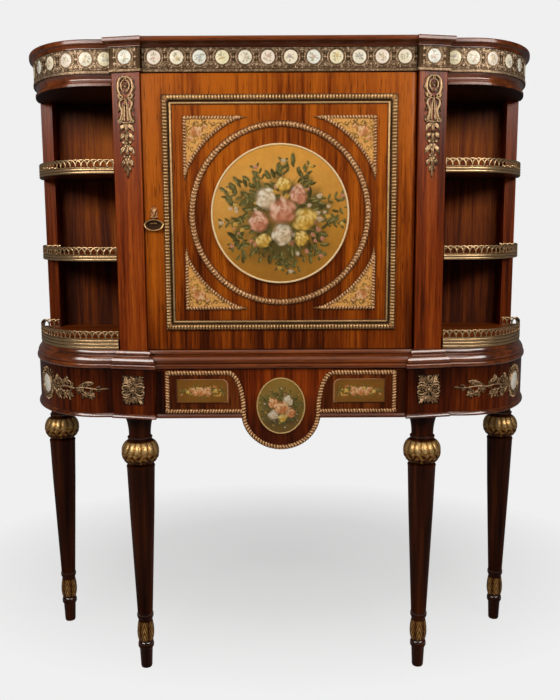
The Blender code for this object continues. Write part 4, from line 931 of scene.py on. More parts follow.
def frieze_strip(path, spots):
    """One stretch of the band: a closed section of 40 points carried along the path every 1.3 mm."""
    rule, length = on_rail(path, 0.0)
    along = np.linspace(0.0, length, int(length / 0.0013) + 1)[:, None]
    z = np.linspace(band_low + 0.0058, band_high, 34)[None]
    spot, half = half_gap(along, spots)
    high = frieze_height(along - spot, z - band_mid, half)
    rope = 0.7 + 0.3 * np.cos(2 * np.pi * along / 0.0034)
    edge = (bump(z - band_low - 0.0072, 0.0008) + bump(z - band_high + 0.0012, 0.0008)) * rope
    high = high + 0.0012 * edge
    fillet_z = np.array([0.0, 0.0004, 0.0030, 0.0050, 0.0056]) + band_low
    fillet = np.array([-0.0006, 0.0013, 0.0015, 0.0013, -0.0006])
    count = len(along)
    outs = np.concatenate([np.tile(fillet, (count, 1)), high - 0.0012, np.full((count, 2), -0.0022)],
                          axis=1)
    ups = np.concatenate([np.tile(fillet_z, (count, 1)), np.tile(z, (count, 1)),
                          np.tile([band_high, band_low], (count, 1))], axis=1)
    tone = np.concatenate([np.tile([0.2, 0.45, 0.55, 0.45, 0.2], (count, 1)), np.clip(high / 0.0014, 0, 1),
                           np.zeros((count, 2))], axis=1)
    flat = np.stack([np.broadcast_to(along, outs.shape), ups, outs], axis=-1)
    return loft(rule(flat.reshape(-1, 3)).reshape(flat.shape), tone)


end_path = np.concatenate([[(BLOCK_OUT, END_Y)], end_line(0.0, BACK - 0.0002, 60)])
block_path = np.array([(BLOCK_IN, block_y(BLOCK_IN, 0.0)), (BLOCK_OUT, block_y(BLOCK_OUT, 0.0))])
block_path = np.linspace(block_path[0], block_path[1], 9)
centre_path = np.linspace((-BLOCK_IN, CENTRE_Y), (BLOCK_IN, CENTRE_Y), 33)
block_length = on_rail(block_path, 0)[1]
centre_spots = BLOCK_IN + (np.arange(12) - 5.5) * 0.0428
end_spots = np.array([0.0100, 0.0461, 0.0875, 0.1338, 0.1864, 0.2440, 0.3050, 0.3640])
frieze_shapes = [frieze_strip(centre_path, centre_spots), frieze_strip(block_path, [block_length / 2]),
                 frieze_strip(end_path, end_spots)]
returns = [frieze_strip(np.linspace(a, b, 5), [0.5])
           for a, b in (((BLOCK_IN, CENTRE_Y), (BLOCK_IN, block_y(BLOCK_IN, 0))),
                        ((BLOCK_OUT, block_y(BLOCK_OUT, 0)), (BLOCK_OUT, END_Y)))]
frieze_shapes += returns
piece("frieze_band_cast", "cabinet", "bronze", frieze_bronze,
      frieze_shapes + [flipped(shape) for shape in frieze_shapes[1:]], ["frieze_band"], crease=50)

# %% [markdown]
# ## Painting on porcelain
#
# The painted places carry flowers: single sprigs on the roundels, rose sprays on the
# plaques, and bouquets on the two large ovals. A painter lays one touch over another, and so does this
# canvas: every point of a dense mesh holds a colour, and each touch blends a new colour in where its
# soft oval covers the point. The colours go into the mesh as an attribute, so no picture is needed.

# %% Canvas
def pointing(turn):
    """The unit vector at an angle."""
    return np.array([math.cos(turn), math.sin(turn)])


class Canvas:
    """Colours at points (n, 2), laid touch by touch: colour += cover * (new - colour)."""

    def __init__(self, spots, ground):
        self.spots = np.asarray(spots, float)
        self.colour = np.broadcast_to(np.asarray(ground, float), (len(spots), 3)).copy()

    def lay(self, cover, colour):
        self.colour += np.clip(cover, 0.0, 1.0)[:, None] * (np.asarray(colour) - self.colour)

    def touch(self, centre, long, wide, turn, colour, soft=0.4, strength=1.0):
        """An oval touch: it covers by `strength` inside and fades over the last share `soft` of its
        radius."""
        away = self.spots - centre
        near = np.flatnonzero(np.abs(away).max(axis=1) < max(long, wide))
        c, s = math.cos(turn), math.sin(turn)
        x, y = away[near].T
        reach = np.hypot((c * x + s * y) / long, (c * y - s * x) / wide)
        cover = strength * np.clip((1.0 - reach) / soft, 0.0, 1.0)[:, None]
        self.colour[near] += cover * (np.asarray(colour) - self.colour[near])

    def leaf(self, base, length, turn, deep, pale):
        """A leaf blade: a dark oval, a lighter half, and a thin rib."""
        run = pointing(turn)
        side = np.array([-run[1], run[0]])
        middle = np.asarray(base) + run * length / 2
        self.touch(middle, length * 0.52, length * 0.22, turn, deep, 0.3)
        self.touch(middle + side * length * 0.07, length * 0.40, length * 0.11, turn, pale, 0.6, 0.85)

    def rose(self, centre, size, deep, warm, pale, twist=0.0, petals=19):
        """An open bloom lit from the upper left: loose petals wind inwards by 137 degrees each, every
        one with a shaded foot."""
        centre = np.asarray(centre, float)
        deep, warm, pale = (np.asarray(colour, float) for colour in (deep, warm, pale))
        dice = np.random.default_rng(int(1000 * abs(twist)) + int(1e5 * abs(centre[0])))
        self.touch(centre, size, size * 0.86, twist, 0.5 * deep + 0.5 * warm, 0.45, 0.95)
        for k in range(petals):
            inwards = k / petals
            turn = twist + 2.4 * k + dice.normal(0, 0.2)
            way = pointing(turn)
            spot = centre + size * (0.74 - 0.70 * inwards) * way + dice.normal(0, 0.04 * size, 2)
            long, wide = size * (0.46 - 0.22 * inwards), size * (0.28 - 0.11 * inwards)
            lean = turn + 1.57 + dice.normal(0, 0.3)
            light = np.clip(0.5 + 0.55 * (way @ (-0.6, 0.8)) + dice.normal(0, 0.14), 0.0, 1.0)
            self.touch(spot - 0.13 * size * way, long, wide, lean, 0.7 * deep + 0.3 * warm, 0.9, 0.62)
            self.touch(spot, long * 0.85, wide * 0.72, lean, warm + light * (pale - warm), 0.75, 0.88)
        self.touch(centre + (0.28 * size, -0.42 * size), size * 0.60, size * 0.34, -0.5, deep, 1.0, 0.40)
        self.touch(centre + (0.04 * size, -0.03 * size), size * 0.18, size * 0.10, 0.6 + twist, deep, 0.9,
                   0.65)

    def stem(self, points, width, colour):
        """A thin line: touches strung along a smooth curve."""
        line = smooth(points, 26)
        for spot in line:
            self.touch(spot, width, width, 0.0, colour, 0.6, 0.9)


OLIVE, LEAF, MOSS = (0.052, 0.046, 0.012), (0.215, 0.180, 0.052), (0.112, 0.096, 0.026)
PINKS = ((0.33, 0.085, 0.040), (0.64, 0.27, 0.15), (0.84, 0.56, 0.40))
YELLOWS = ((0.36, 0.17, 0.020), (0.72, 0.43, 0.065), (0.88, 0.69, 0.27))
ROSES = ((0.30, 0.080, 0.018), (0.68, 0.265, 0.085), (0.97, 0.65, 0.36))
CREAMS = ((0.38, 0.24, 0.12), (0.72, 0.57, 0.37), (0.88, 0.80, 0.64))
BLUES = ((0.10, 0.12, 0.20), (0.27, 0.33, 0.48), (0.58, 0.64, 0.72))
VIOLETS = ((0.15, 0.06, 0.13), (0.38, 0.20, 0.33), (0.66, 0.50, 0.60))

# %% Roundels along the frieze
def dome_rings(wide, high, rise, rim, rings, around):
    """A domed oval: out = rim + (rise - rim)(1 - q^2) for q from 1 at the edge to 0, with an upright
    edge below."""
    q = np.concatenate([[1.0], np.linspace(1.0, 0.0, rings)])[:, None]
    turn = np.linspace(0.0, 2 * np.pi, around, endpoint=False)[None]
    out = rim + (rise - rim) * (1 - q ** 2)
    out[0] = 0.0
    return np.stack([wide * q * np.cos(turn), high * q * np.sin(turn), out + 0 * turn], axis=-1)


def roundel_colours(spots, order):
    """A soft sprig: pale leaves strewn about one open flower, with small buds, on a ground that
    differs a little each time."""
    ground = np.array(((0.95, 0.83, 0.70), (0.95, 0.86, 0.66), (0.87, 0.87, 0.78), (0.93, 0.84, 0.56),
                       (0.92, 0.86, 0.70))[order % 5])
    tint = [0.60 * np.array(colour) + 0.38 * ground
            for colour in (PINKS, YELLOWS, BLUES, YELLOWS, CREAMS, PINKS, VIOLETS)[order % 7]]
    canvas = Canvas(spots, ground)
    dice = np.random.default_rng(40 + order)
    for k in range(13):
        turn, reach = dice.uniform(0, 6.28), dice.uniform(0.0015, 0.0060)
        canvas.leaf(reach * pointing(turn), dice.uniform(0.0030, 0.0065), turn + dice.normal(0, 0.9),
                    (0.40, 0.37, 0.24), (0.60, 0.55, 0.38))
    canvas.rose(dice.uniform(-0.0022, 0.0022, 2), dice.uniform(0.0036, 0.0052), *tint, twist=order,
                petals=9)
    for k in range(9):
        turn, reach = dice.uniform(0, 6.28), dice.uniform(0.0050, 0.0098)
        canvas.touch(reach * pointing(turn), 0.0014, 0.0011, turn, tint[k % 2], 0.7, 0.8)
    return canvas.colour


def roundel_row(path, spots, first):
    rule, _ = on_rail(path, band_mid)
    made = []
    for order, spot in enumerate(spots):
        shape = loft(dome_rings(0.0126, 0.0126, 0.0014, 0.0003, 14, 44))
        colours = roundel_colours(shape[0][:, :2], first + order)
        lifted = shape[0] + (spot, 0.0, -0.0007)
        made.append((rule(lifted), shape[1], shape[2], colours))
    return made


right_roundels = (roundel_row(block_path, [block_length / 2], 12)
                  + roundel_row(end_path, end_spots + 0.0008, 13))
left_roundels = [(shape[0] * (-1, 1, 1), shape[1], shape[2], shape[3] * (1.0, 0.99, 0.97))
                 for shape in roundel_row(block_path, [block_length / 2], 22)
                 + roundel_row(end_path, end_spots + 0.0008, 23)]
roundels = roundel_row(centre_path, centre_spots, 0) + right_roundels + left_roundels
piece("frieze_roundels", "cabinet", "porcelain", porcelain, [shape[:3] for shape in roundels],
      paint=np.concatenate([shape[3] for shape in roundels]))

# %% [markdown]
# ## Shelf rims and pierced galleries
#
# Each end shelf has a reeded brass rim with a small pierced fence on it, bent to the same curve. The
# fence is a row of interlaced arches: each spans two bays, so neighbours cross. One arch is made
# flat and repeated along the rail, and at the back the fence turns in along the face of the post.

# %% Galleries
def rim_path(out):
    return np.concatenate([[(BLOCK_OUT + GAP, END_Y - out)], end_line(out, POST_FACE, 44)])


def reeded_rim(low, high, rim_in, rim_out, reeds):
    """A strip whose face swells into reeds: out = base + depth |sin(reeds pi v)| over its height v."""
    v = np.linspace(0.0, 1.0, 10 * reeds + 1)
    swell = np.abs(np.sin(reeds * np.pi * v)) ** 0.6
    face = np.column_stack([rim_out - 0.0011 + 0.0011 * swell, low + (high - low) * v])
    section = np.concatenate([face, [(rim_in, high), (rim_in, low)]])
    return moulded(rim_path, section, 0.0, 1, np.concatenate([0.15 + 0.85 * swell, [0.3, 0.3]])[None])


def fence(length, height):
    """Interlaced arches s = c - p cos(a), up = h sin(a), with a bead at each foot and a thin sill."""
    bays = max(2, round(length / 0.0128))
    pitch = length / bays
    turn = np.linspace(0.0, np.pi, 13)
    shapes = []
    for k in range(bays + 1):
        path = np.column_stack([np.clip(k * pitch - pitch * np.cos(turn), 0.0, length),
                                0.0022 + (height - 0.0028) * np.sin(turn) ** 0.8])
        path[:, 0] += np.linspace(-1e-5, 1e-5, 13)
        shapes.append(stroke(path, 0.0017, 0.0014, sides=5, base=-0.0005, tone=(0.2, 0.95)))
    sill = stroke(np.column_stack([np.linspace(0.0, length, 60), np.full(60, 0.0011)]), 0.0012, 0.0013,
                  sides=6, base=-0.0006)
    stations = np.arange(bays + 1) * pitch
    feet = beads(np.column_stack([stations, np.full(bays + 1, 0.0032)]), 0.0015, 0.0016, 6)
    tops = beads(np.column_stack([stations, np.full(bays + 1, height - 0.0006)]), 0.0009, 0.0014, 6,
                 -0.0006)
    return shapes + [sill, feet, tops]


def gallery(low, high, rim_in, rim_out, reeds, height=0.0165):
    wall = rim_path(rim_out - 0.0013)
    rule, length = on_rail(wall, high)
    shapes = [reeded_rim(low, high, rim_in, rim_out, reeds)]
    shapes += [set_on(rule, shape) for shape in fence(length, height)]
    corner = wall[-1]
    inward = np.linspace(corner, (corner[0] - 0.034, corner[1]), 5)
    turn_rule, turn_length = on_rail(inward[::-1], high)
    return shapes + [set_on(turn_rule, shape) for shape in fence(turn_length, height)]


galleries = {"gallery_upper_": gallery(CASE_Z + 0.3417, CASE_Z + 0.3522, -0.0057, -0.0022, 2),
             "gallery_lower_": gallery(CASE_Z + 0.1737, CASE_Z + 0.1842, -0.0057, -0.0022, 2),
             "gallery_base_": gallery(CASE_Z + GAP, CASE_Z + 0.0198, 0.0055, 0.0090, 3)}
for name, shapes in galleries.items():
    side_pieces(name + "pierced_", "bronze", brass, shapes, name)

# %% [markdown]
# ## Bronze mounts on the pilasters, blocks and curved aprons
#
# The pilaster drop is a scrolled cartouche over a fluted lyre, with husks, leaves and flowers hanging
# below it. The block carries an acanthus rosette, and the curved apron a spray
# that grows towards an oval plaque. Each is composed from the vocabulary, in metres from its top or
# middle, one half first and then its mirror image.

# %% Pilaster drops
mm = 0.001


def path_mm(*points, count=18):
    return smooth(np.array(points) * mm, count)


def drop_pair(top, reach, fall, wide):
    """Two leaves that hang outwards, with a husk between them."""
    side = leaf(path_mm((1, top), (reach * 0.62, top - fall * 0.42), (reach, top - fall), count=10),
                wide * mm, 0.0032, 2)
    husk = leaf(path_mm((0, top + 2), (0.3, top - fall * 0.6), (0, top - fall * 1.15), count=9),
                0.62 * wide * mm, 0.0040, 0)
    return paired([side]) + [husk]


def lobe(*points, wide=3.4, rise=3.6, cuts=2):
    """A short leaf through points in millimetres."""
    return leaf(path_mm(*points, count=11), wide * mm, rise * mm, cuts)


arm = stroke(path_mm((0, -1), (6, -1.6), (12, -7), (14.5, -17), (13.5, -27), (9.5, -34)),
             taper(18, 0.0018, 0.0034, 0.0026), 0.0044)
arm_eye = stroke(scroll((9.0 * mm, -36.5 * mm), 0.0056, 80, -1.3, 22), taper(22, 0.0024, 0.0019, 0.0012),
                 0.0042)
arm_leaves = [lobe((10, -5), (15, -8), (17, -15)), lobe((14, -16), (17.5, -21), (16.5, -29)),
              lobe((12, -30), (16, -33), (16, -39), wide=2.8)]
inner = [stroke(path_mm((1, -7), (6, -9.5), (8.6, -16), (6.4, -24), (2.0, -27)),
                taper(18, 0.0010, 0.0021, 0.0015), 0.0032), lobe((1, -33), (4, -27), (6.4, -20), wide=2.6),
         lobe((1, -12), (4, -15), (4.6, -21), wide=2.2)]
lyre = stroke(path_mm((4, -41), (11, -45), (12.4, -53), (8.4, -61), (7.6, -69), (10.5, -77), (13.5, -82)),
              taper(18, 0.0018, 0.0032, 0.0022), 0.0042)
lyre_eye = stroke(scroll((11.5 * mm, -81.5 * mm), 0.0046, 20, -1.2, 18), 0.0017, 0.0038)
lyre_leaves = [lobe((9, -42), (14.5, -43), (16.5, -49), wide=2.9),
               lobe((9, -60), (14, -61), (15.5, -67), wide=2.7),
               lobe((11, -72), (15.5, -76), (16, -82), wide=2.4)]
flutes = [stroke(path_mm((1.9, -46), (2.9, -64), (3.6, -81)), taper(18, 0.0010, 0.0018, 0.0022), 0.0032),
          stroke(path_mm((5.2, -50), (5.8, -66), (7.6, -80)), taper(18, 0.0008, 0.0014, 0.0017), 0.0028)]
middle = [lobe((0, -37), (0, -45), (0, -56), wide=4.4, rise=4.4, cuts=3),
          lobe((0, 2.2), (0, -4), (0, -11), wide=5.0, rise=4.8, cuts=3),
          stroke(path_mm((-11, -83.5), (0, -85.0), (11, -83.5)), 0.0024, 0.0038),
          beads(np.array([(0, -19.0)]) * mm, 0.0034, 0.0046)]
drops = (drop_pair(-86, 14.5, 17, 6.4) + drop_pair(-102, 14.0, 17, 6.2) + flower(0, -0.1225, 0.0116)
         + drop_pair(-126, 14.5, 20, 6.6) + flower(0, -0.1480, 0.0092) + drop_pair(-150, 11.5, 18, 5.6)
         + drop_pair(-163, 6.5, 15, 3.6) + [lobe((0, -166), (0, -178), (0, -189), cuts=1)])
pilaster_drop = paired([arm, arm_eye, lyre, lyre_eye] + arm_leaves + inner + lyre_leaves
                       + flutes) + middle + drops
on_pilaster = on_block(-0.005, FRIEZE_Z - 0.0070)
side_pieces("pilaster_drop_", "bronze", old_bronze, [set_on(on_pilaster, shape) for shape in pilaster_drop],
            "pilaster_mount_", crease=60)

# %% Rosettes on the blocks
def rosette():
    """One quarter, mirrored to four: a lobed corner leaf, fan leaves above the boss, and two C-scrolls
    beside it."""
    fan = [lobe((0, 9), (0, 19), (0, 30), wide=5.4, rise=4.4, cuts=4),
           lobe((2, 11), (6, 19), (8.5, 29.5), wide=4.0, rise=4.2, cuts=3)]
    corner = [lobe((5, 11), (12, 18), (16, 24), (21.5, 29), wide=5.2, rise=4.4, cuts=4),
              lobe((9, 13), (16, 17), (22.5, 20.5), wide=3.4, cuts=2),
              lobe((11, 19), (14, 25), (14.5, 30), wide=2.8, cuts=2)]
    scrolls = [stroke(path_mm((4, 4), (10, 8.5), (17, 9.5), (22, 6.5), (21, 2.2), (16.5, 2.0)),
                      taper(18, 0.0015, 0.0023, 0.0016), 0.0044),
               stroke(path_mm((5, 8), (11, 13.5), (18, 14.5), (22.5, 12)),
                      taper(18, 0.0012, 0.0019, 0.0012), 0.0038),
               lobe((7, 1.6), (13, 4.0), (19, 5.0), wide=2.6, cuts=1)]
    upper = paired(corner + scrolls + fan[1:]) + fan[:1]
    lower = [(shape[0] * (1.0, -1.0, 1.0), shape[1], shape[2]) for shape in upper]
    plate = loft(eased(rounded([(-22, -29), (22, -29), (22, 29), (-22, 29)], 3.0) * mm, 0.0008, 0.0002),
                 0.12)
    dice = np.random.default_rng(3)
    grains = beads(dice.uniform((-20.5, -28), (20.5, 28), (150, 2)) * mm, 0.0016, 0.0030, 6)
    return [plate, grains] + upper + lower + flower(0, 0, 0.0085, 8) + [beads([(0, 0)], 0.0044, 0.0078, 12)]


HEAD_MIDDLE = 0.6045
on_head = on_block(LOWER_BLOCK, HEAD_MIDDLE)
side_pieces("block_rosette_", "bronze", old_bronze, [set_on(on_head, shape) for shape in rosette()],
            "rosette_mount_", crease=60)

# %% Sprays on the curved aprons
apron_rail, _ = on_rail(apron_line(0.0), HEAD_MIDDLE)
OVAL_S = 0.178


def spray():
    """A branch from a spear to the oval: a waving stem, ribbons above and below it, and clumps of
    leaves and flowers."""
    stem = stroke(path_mm((26, -1), (40, 0.5), (60, 2.5), (82, 0.5), (104, 3), (126, 0), (148, 0),
                          count=40), taper(40, 0.0012, 0.0022, 0.0026), 0.0034)
    marks = [stem, lobe((31, -0.5), (20, 0.4), (7, 0.8), wide=2.6, cuts=0),
             lobe((38, 1), (30, 4.5), (24, 5.0), wide=2.4), lobe((38, -1), (31, -4), (26, -6), wide=2.4)]
    for points in (((74, 3), (63, 10), (50, 14), (40, 12)), ((66, 0), (58, -8), (47, -13), (38, -9)),
                   ((128, 3), (116, 12), (102, 16), (90, 11)), ((124, -1), (112, -9), (98, -16), (86, -11)),
                   ((146, 2), (138, 13), (127, 18), (118, 14)),
                   ((146, -2), (138, -14), (126, -19), (116, -14))):
        marks.append(stroke(path_mm(*points, count=16), taper(16, 0.0009, 0.0016, 0.0012), 0.0026))
    dice = np.random.default_rng(9)
    for across, up, size in ((46, -9, 7.0), (57, -12, 6.2), (50, 10, 5.6), (62, 5, 5.0), (70, -4, 5.4),
                             (96, -12, 7.0), (108, -15, 6.0), (100, 12, 6.2), (112, 9, 5.6), (90, 3, 5.2),
                             (124, -14, 6.4), (130, 13, 6.4), (138, -6, 5.4), (140, 6, 5.2)):
        marks += flower(across * mm, up * mm, 1.05 * size * mm)
        for turn in dice.uniform(0, 360, 5):
            blade = lobe((0.4 * size, 0), (1.1 * size, 1.0), (2.0 * size, 0), wide=0.46 * size, rise=3.2)
            marks.append(moved(blade, across * mm, up * mm, turn))
    return marks


def wreath(wide, high):
    """A frame of small leaves in two rows round the oval, inside a plain ring."""
    ring = arc((OVAL_S, 0.0), (wide, high), 0, 360, 48)
    outer_ring = arc((OVAL_S, 0.0), (wide + 0.0036, high + 0.0036), 0, 360, 48)
    marks = [stroke(ring, 0.0020, 0.0042), stroke(outer_ring, 0.0011, 0.0028)]
    for k in range(56):
        turn = 360.0 * k / 56
        c, s = math.cos(math.radians(turn)), math.sin(math.radians(turn))
        row = 0.0034 + 0.0046 * (k % 2)
        blade = lobe((0, 0), (3, 1.4), (7.0, 0), wide=2.2, rise=3.0, cuts=1)
        marks.append(moved(blade, OVAL_S + (wide + row) * c, (high + row) * s, turn + 24 - 48 * (k % 2)))
    return marks


spray_shapes = [set_on(apron_rail, shape) for shape in spray() + wreath(0.0235, 0.0210)]
side_pieces("apron_spray_", "bronze", old_bronze, spray_shapes, "end_mount_", crease=60)

oval_flat = loft(dome_rings(0.0225, 0.0200, 0.0034, 0.0012, 18, 56))
oval_colours = 0.35 * roundel_colours((oval_flat[0][:, :2] / 1.5), 4) + 0.65 * np.array([1.0, 0.95, 0.86])
oval = set_on(apron_rail, (oval_flat[0] + (OVAL_S, 0.0, 0.0), oval_flat[1], oval_flat[2]))
side_pieces("apron_oval_", "porcelain", porcelain, [oval], paint=oval_colours)

# %% [markdown]
# ## Beaded bronze on the apron
#
# A ribbed bronze line frames two panels on the middle apron and runs down round the pendant. It is
# one half-round section carried along the line, and its width and height swell and sink with the
# length, like a rope of small leaves. Stepping the path by length, not by point, keeps the ribs even.

# %% Ribbed lines
def even(path, step):
    """The same path with points every `step` of its length."""
    path = np.asarray(path, float)
    length = np.concatenate([[0.0], np.cumsum(np.linalg.norm(np.diff(path, axis=0), axis=1))])
    place = np.linspace(0.0, length[-1], max(3, int(length[-1] / step) + 1))
    return np.column_stack([np.interp(place, length, path[:, k]) for k in (0, 1)]), place


def ribbed(path, width, rise, pitch, twist=1.4, sides=8):
    """A rope-like ridge: height = rise sin(v) (0.72 + 0.28 cos(2 pi s / pitch + twist cos v))."""
    line, place = even(path, pitch / 6)
    v = np.linspace(0.0, np.pi, sides)[None]
    swell = np.cos(2 * np.pi * place[:, None] / pitch + twist * np.cos(v))
    flat = line[:, None] + sections(line)[:, None] * (width * (1 + 0.10 * swell) * np.cos(v))[..., None]
    high = rise * np.sin(v) * (0.72 + 0.28 * swell)
    return loft(np.concatenate([flat, high[..., None]], axis=-1),
                np.clip(0.62 + 0.28 * swell, 0, 1) * np.sin(v) ** 0.5)


panel_top, panel_low, panel_out = 0.6382, 0.5614, 0.2230
flare = arc((0.1035, SPRING), (0.030, panel_top - SPRING), 90, 180, 16)
pendant_edge = arc((0.0, SPRING), (0.0735, 0.0695), 0, -90, 24)
half_line = np.concatenate([[(panel_out, panel_top)], flare, pendant_edge[1:]])
whole_line = np.concatenate([half_line, (half_line * (-1.0, 1.0))[::-1][1:]])
sides_line = np.array([(panel_out, panel_top + 0.004), (panel_out, panel_low), (0.0775, panel_low)])
upright_line = ribbed(sides_line[:2], 0.0042, 0.0038, 0.0055)
level_line = ribbed(sides_line[1:] + ((0.004, 0), (0, 0)), 0.0042, 0.0038, 0.0055)
apron_lines = [ribbed(whole_line, 0.0047, 0.0042, 0.0060)] + paired([upright_line, level_line])
on_apron = facing(0.0, APRON_FACE, 0.0)
piece("apron_ribbed_line", "cabinet", "bronze", rose_bronze,
      [set_on(on_apron, shape) for shape in apron_lines], ["apron_bead"], crease=70)

field_edge = np.concatenate([[(panel_out, panel_low), (panel_out, panel_top)], flare,
                             [(0.0775, panel_low)]])
field = set_on(on_apron, loft(eased(field_edge, 0.0005, 0.0001)))
side_pieces("apron_field_", "mahogany", field_wood, [field])
# A thin dark strip beside each block on the middle apron: painted shadow of the block.
stile_edge = np.array([(0.2465, 0.5570), (0.2465, 0.6425), (0.2285, 0.6425), (0.2285, 0.5570)])
stile = set_on(on_apron, loft(eased(stile_edge, 0.0005, 0.0001)))
side_pieces("apron_stile_", "mahogany", stile_shadow_wood, [stile])

# %% [markdown]
# ## Painted plaques, the pendant oval and the door's medallion
#
# The two plaques are little tablets with a bevelled edge and a spray of roses. The pendant carries an
# oval, and the door a large domed medallion on a golden ground. The ovals carry bouquets
# of garden flowers, whose colours keep to olive, ochre, rose, cream and straw yellow.

# %% Plaques
def plaque():
    """A tablet with one rounded shoulder: rows run from the middle of the tablet out to its bevelled
    edge."""
    corner = arc((0.115, 0.6137), (0.012, 0.012), 90, 180, 8)
    border = np.concatenate([np.linspace((0.206, 0.5785), (0.206, 0.6257), 30)[:-1],
                             np.linspace((0.206, 0.6257), (0.115, 0.6257), 60)[:-1], corner,
                             np.linspace((0.103, 0.6137), (0.103, 0.5785), 24)[1:-1],
                             np.linspace((0.103, 0.5785), (0.206, 0.5785), 60)[:-1]])
    middle = np.array([0.1545, 0.6021])
    share = np.concatenate([[1.0, 1.0, 0.985, 0.965, 0.95], np.linspace(0.94, 0.0, 40)])[:, None, None]
    out = np.concatenate([[0.0, 0.0016, 0.0030, 0.0030, 0.0022], np.full(40, 0.0022)])
    flat = middle + (border - middle)[None] * share
    rings = np.concatenate([flat, np.broadcast_to(out[:, None, None], (*flat.shape[:2], 1))], axis=-1)
    return loft(rings), np.broadcast_to(share[..., 0], flat.shape[:2]).reshape(-1)


def rose_spray(canvas, middle, reach, size, dice):
    """A large rose among smaller ones, with leaves, buds and pale florets that thin out towards both
    ends."""
    middle = np.asarray(middle)
    for k in range(70):
        along = dice.uniform(-1, 1)
        spot = middle + (along * reach, dice.normal(0, 0.30) * size * (1.5 - abs(along)))
        canvas.leaf(spot, size * dice.uniform(0.45, 0.85), dice.uniform(0, 6.28), (0.10, 0.070, 0.014),
                    (0.40, 0.27, 0.065))
    for k in range(46):
        along = dice.uniform(-1, 1)
        spot = middle + (along * reach * 0.97, dice.normal(0, 0.44) * size)
        tint = (YELLOWS, ROSES, (OLIVE, LEAF, (0.50, 0.37, 0.12)))[k % 3]
        canvas.rose(spot, size * dice.uniform(0.14, 0.22), *tint, twist=k, petals=5)
    for along, up, wide, tint in ((-0.60, 0.10, 0.36, YELLOWS), (0.68, -0.05, 0.34, YELLOWS),
                                  (0.44, 0.30, 0.44, ROSES), (-0.28, 0.34, 0.48, ROSES),
                                  (0.34, -0.24, 0.54, ROSES), (-0.28, -0.30, 0.52, ROSES),
                                  (0.20, 0.40, 0.42, YELLOWS), (0.02, 0.02, 0.86, ROSES)):
        canvas.rose(middle + (along * reach, up * size), size * wide, *tint, twist=along * 5)


plaque_shape, plaque_share = plaque()
plaque_canvas = Canvas(plaque_shape[0][:, :2], (0.205, 0.084, 0.012))
plaque_canvas.touch((0.150, 0.604), 0.06, 0.03, 0.0, (0.30, 0.128, 0.018), 1.0, 0.7)
rose_spray(plaque_canvas, (0.1545, 0.6010), 0.042, 0.0128, np.random.default_rng(5))
# The bevel is painted: dark all round as painted shade, then paler on its top and its rounded side as a
# painted highlight.
bevel = (plaque_share > 0.945).astype(float)
lit = np.clip((plaque_canvas.spots @ (-0.5, 1.0) - 0.521) / 0.012, 0.0, 1.0)
plaque_canvas.lay(bevel, (0.11, 0.032, 0.009))
plaque_canvas.lay(bevel * lit, (0.46, 0.22, 0.10))
side_pieces("apron_plaque_painted_", "porcelain", porcelain, [set_on(on_apron, plaque_shape)],
            "apron_plaque_", paint=plaque_canvas.colour)

# %% Bouquets
def bouquet(canvas, middle, size, dice, blooms, florets=60):
    """A dim cloud, leaves in three tones from dark to light, trailing sprigs, small florets, then the
    large blooms."""
    middle = np.asarray(middle, float)
    oval = np.array([1.10, 0.92])
    for across, up, wide in ((0.0, -0.05, 0.95), (-0.45, 0.25, 0.55), (0.45, 0.10, 0.55),
                             (0.0, -0.55, 0.60)):
        canvas.touch(middle + size * np.array([across, up]), wide * size, 0.8 * wide * size, 0.0,
                     (0.150, 0.098, 0.022), 0.6, 0.55)
    for k in range(110):
        turn, reach = dice.uniform(0, 6.28), size * dice.uniform(0.0, 1.0) ** 0.5
        spot = middle + 0.90 * reach * oval * pointing(turn)
        canvas.touch(spot, size * dice.uniform(0.10, 0.22), size * 0.12, turn, (0.085, 0.066, 0.017), 0.9,
                     0.5)
    tones = ((OLIVE, MOSS), (MOSS, LEAF), ((0.085, 0.074, 0.020), (0.33, 0.27, 0.080)))
    for k in range(330):
        turn = dice.uniform(0, 6.28)
        reach = size * dice.uniform(0.15, 1.0) ** 0.7 * (1.0 + 0.14 * math.sin(5 * turn + 1.0))
        spot = middle + reach * oval * pointing(turn)
        canvas.leaf(spot, size * dice.uniform(0.10, 0.24), turn + dice.normal(0, 0.8), *tones[k // 120])
    for k in range(11):
        turn = 0.35 + 0.57 * k + dice.normal(0, 0.12)
        tip = middle + size * dice.uniform(1.05, 1.22) * oval * pointing(turn)
        bend = (middle + tip) / 2 + dice.normal(0, 0.09, 2) * size
        canvas.stem((middle, bend, tip), size * 0.016, MOSS)
        for share in (0.75, 0.86, 0.97):
            spot = middle + (tip - middle) * share
            canvas.leaf(spot, size * 0.15, turn + 0.8, MOSS, LEAF)
            canvas.leaf(spot, size * 0.13, turn - 0.8, OLIVE, LEAF)
        canvas.rose(tip, size * 0.055, *(PINKS, YELLOWS, CREAMS)[k % 3], petals=5)
    for k in range(florets):
        turn, reach = dice.uniform(0, 6.28), dice.uniform(0.35, 0.95) * size
        spot = middle + reach * oval * pointing(turn)
        canvas.rose(spot, size * dice.uniform(0.03, 0.07), *(CREAMS, YELLOWS, PINKS)[k % 3], twist=turn,
                    petals=6)
    for across, up, wide, tint in blooms:
        canvas.touch(middle + ((across + 0.05) * size, (up - 0.07) * size), wide * 1.15 * size, wide * size,
                     0.0, (0.045, 0.035, 0.010), 0.6, 0.7)
        canvas.rose(middle + (across * size, up * size), wide * size, *tint, twist=across * 9 + up * 5)


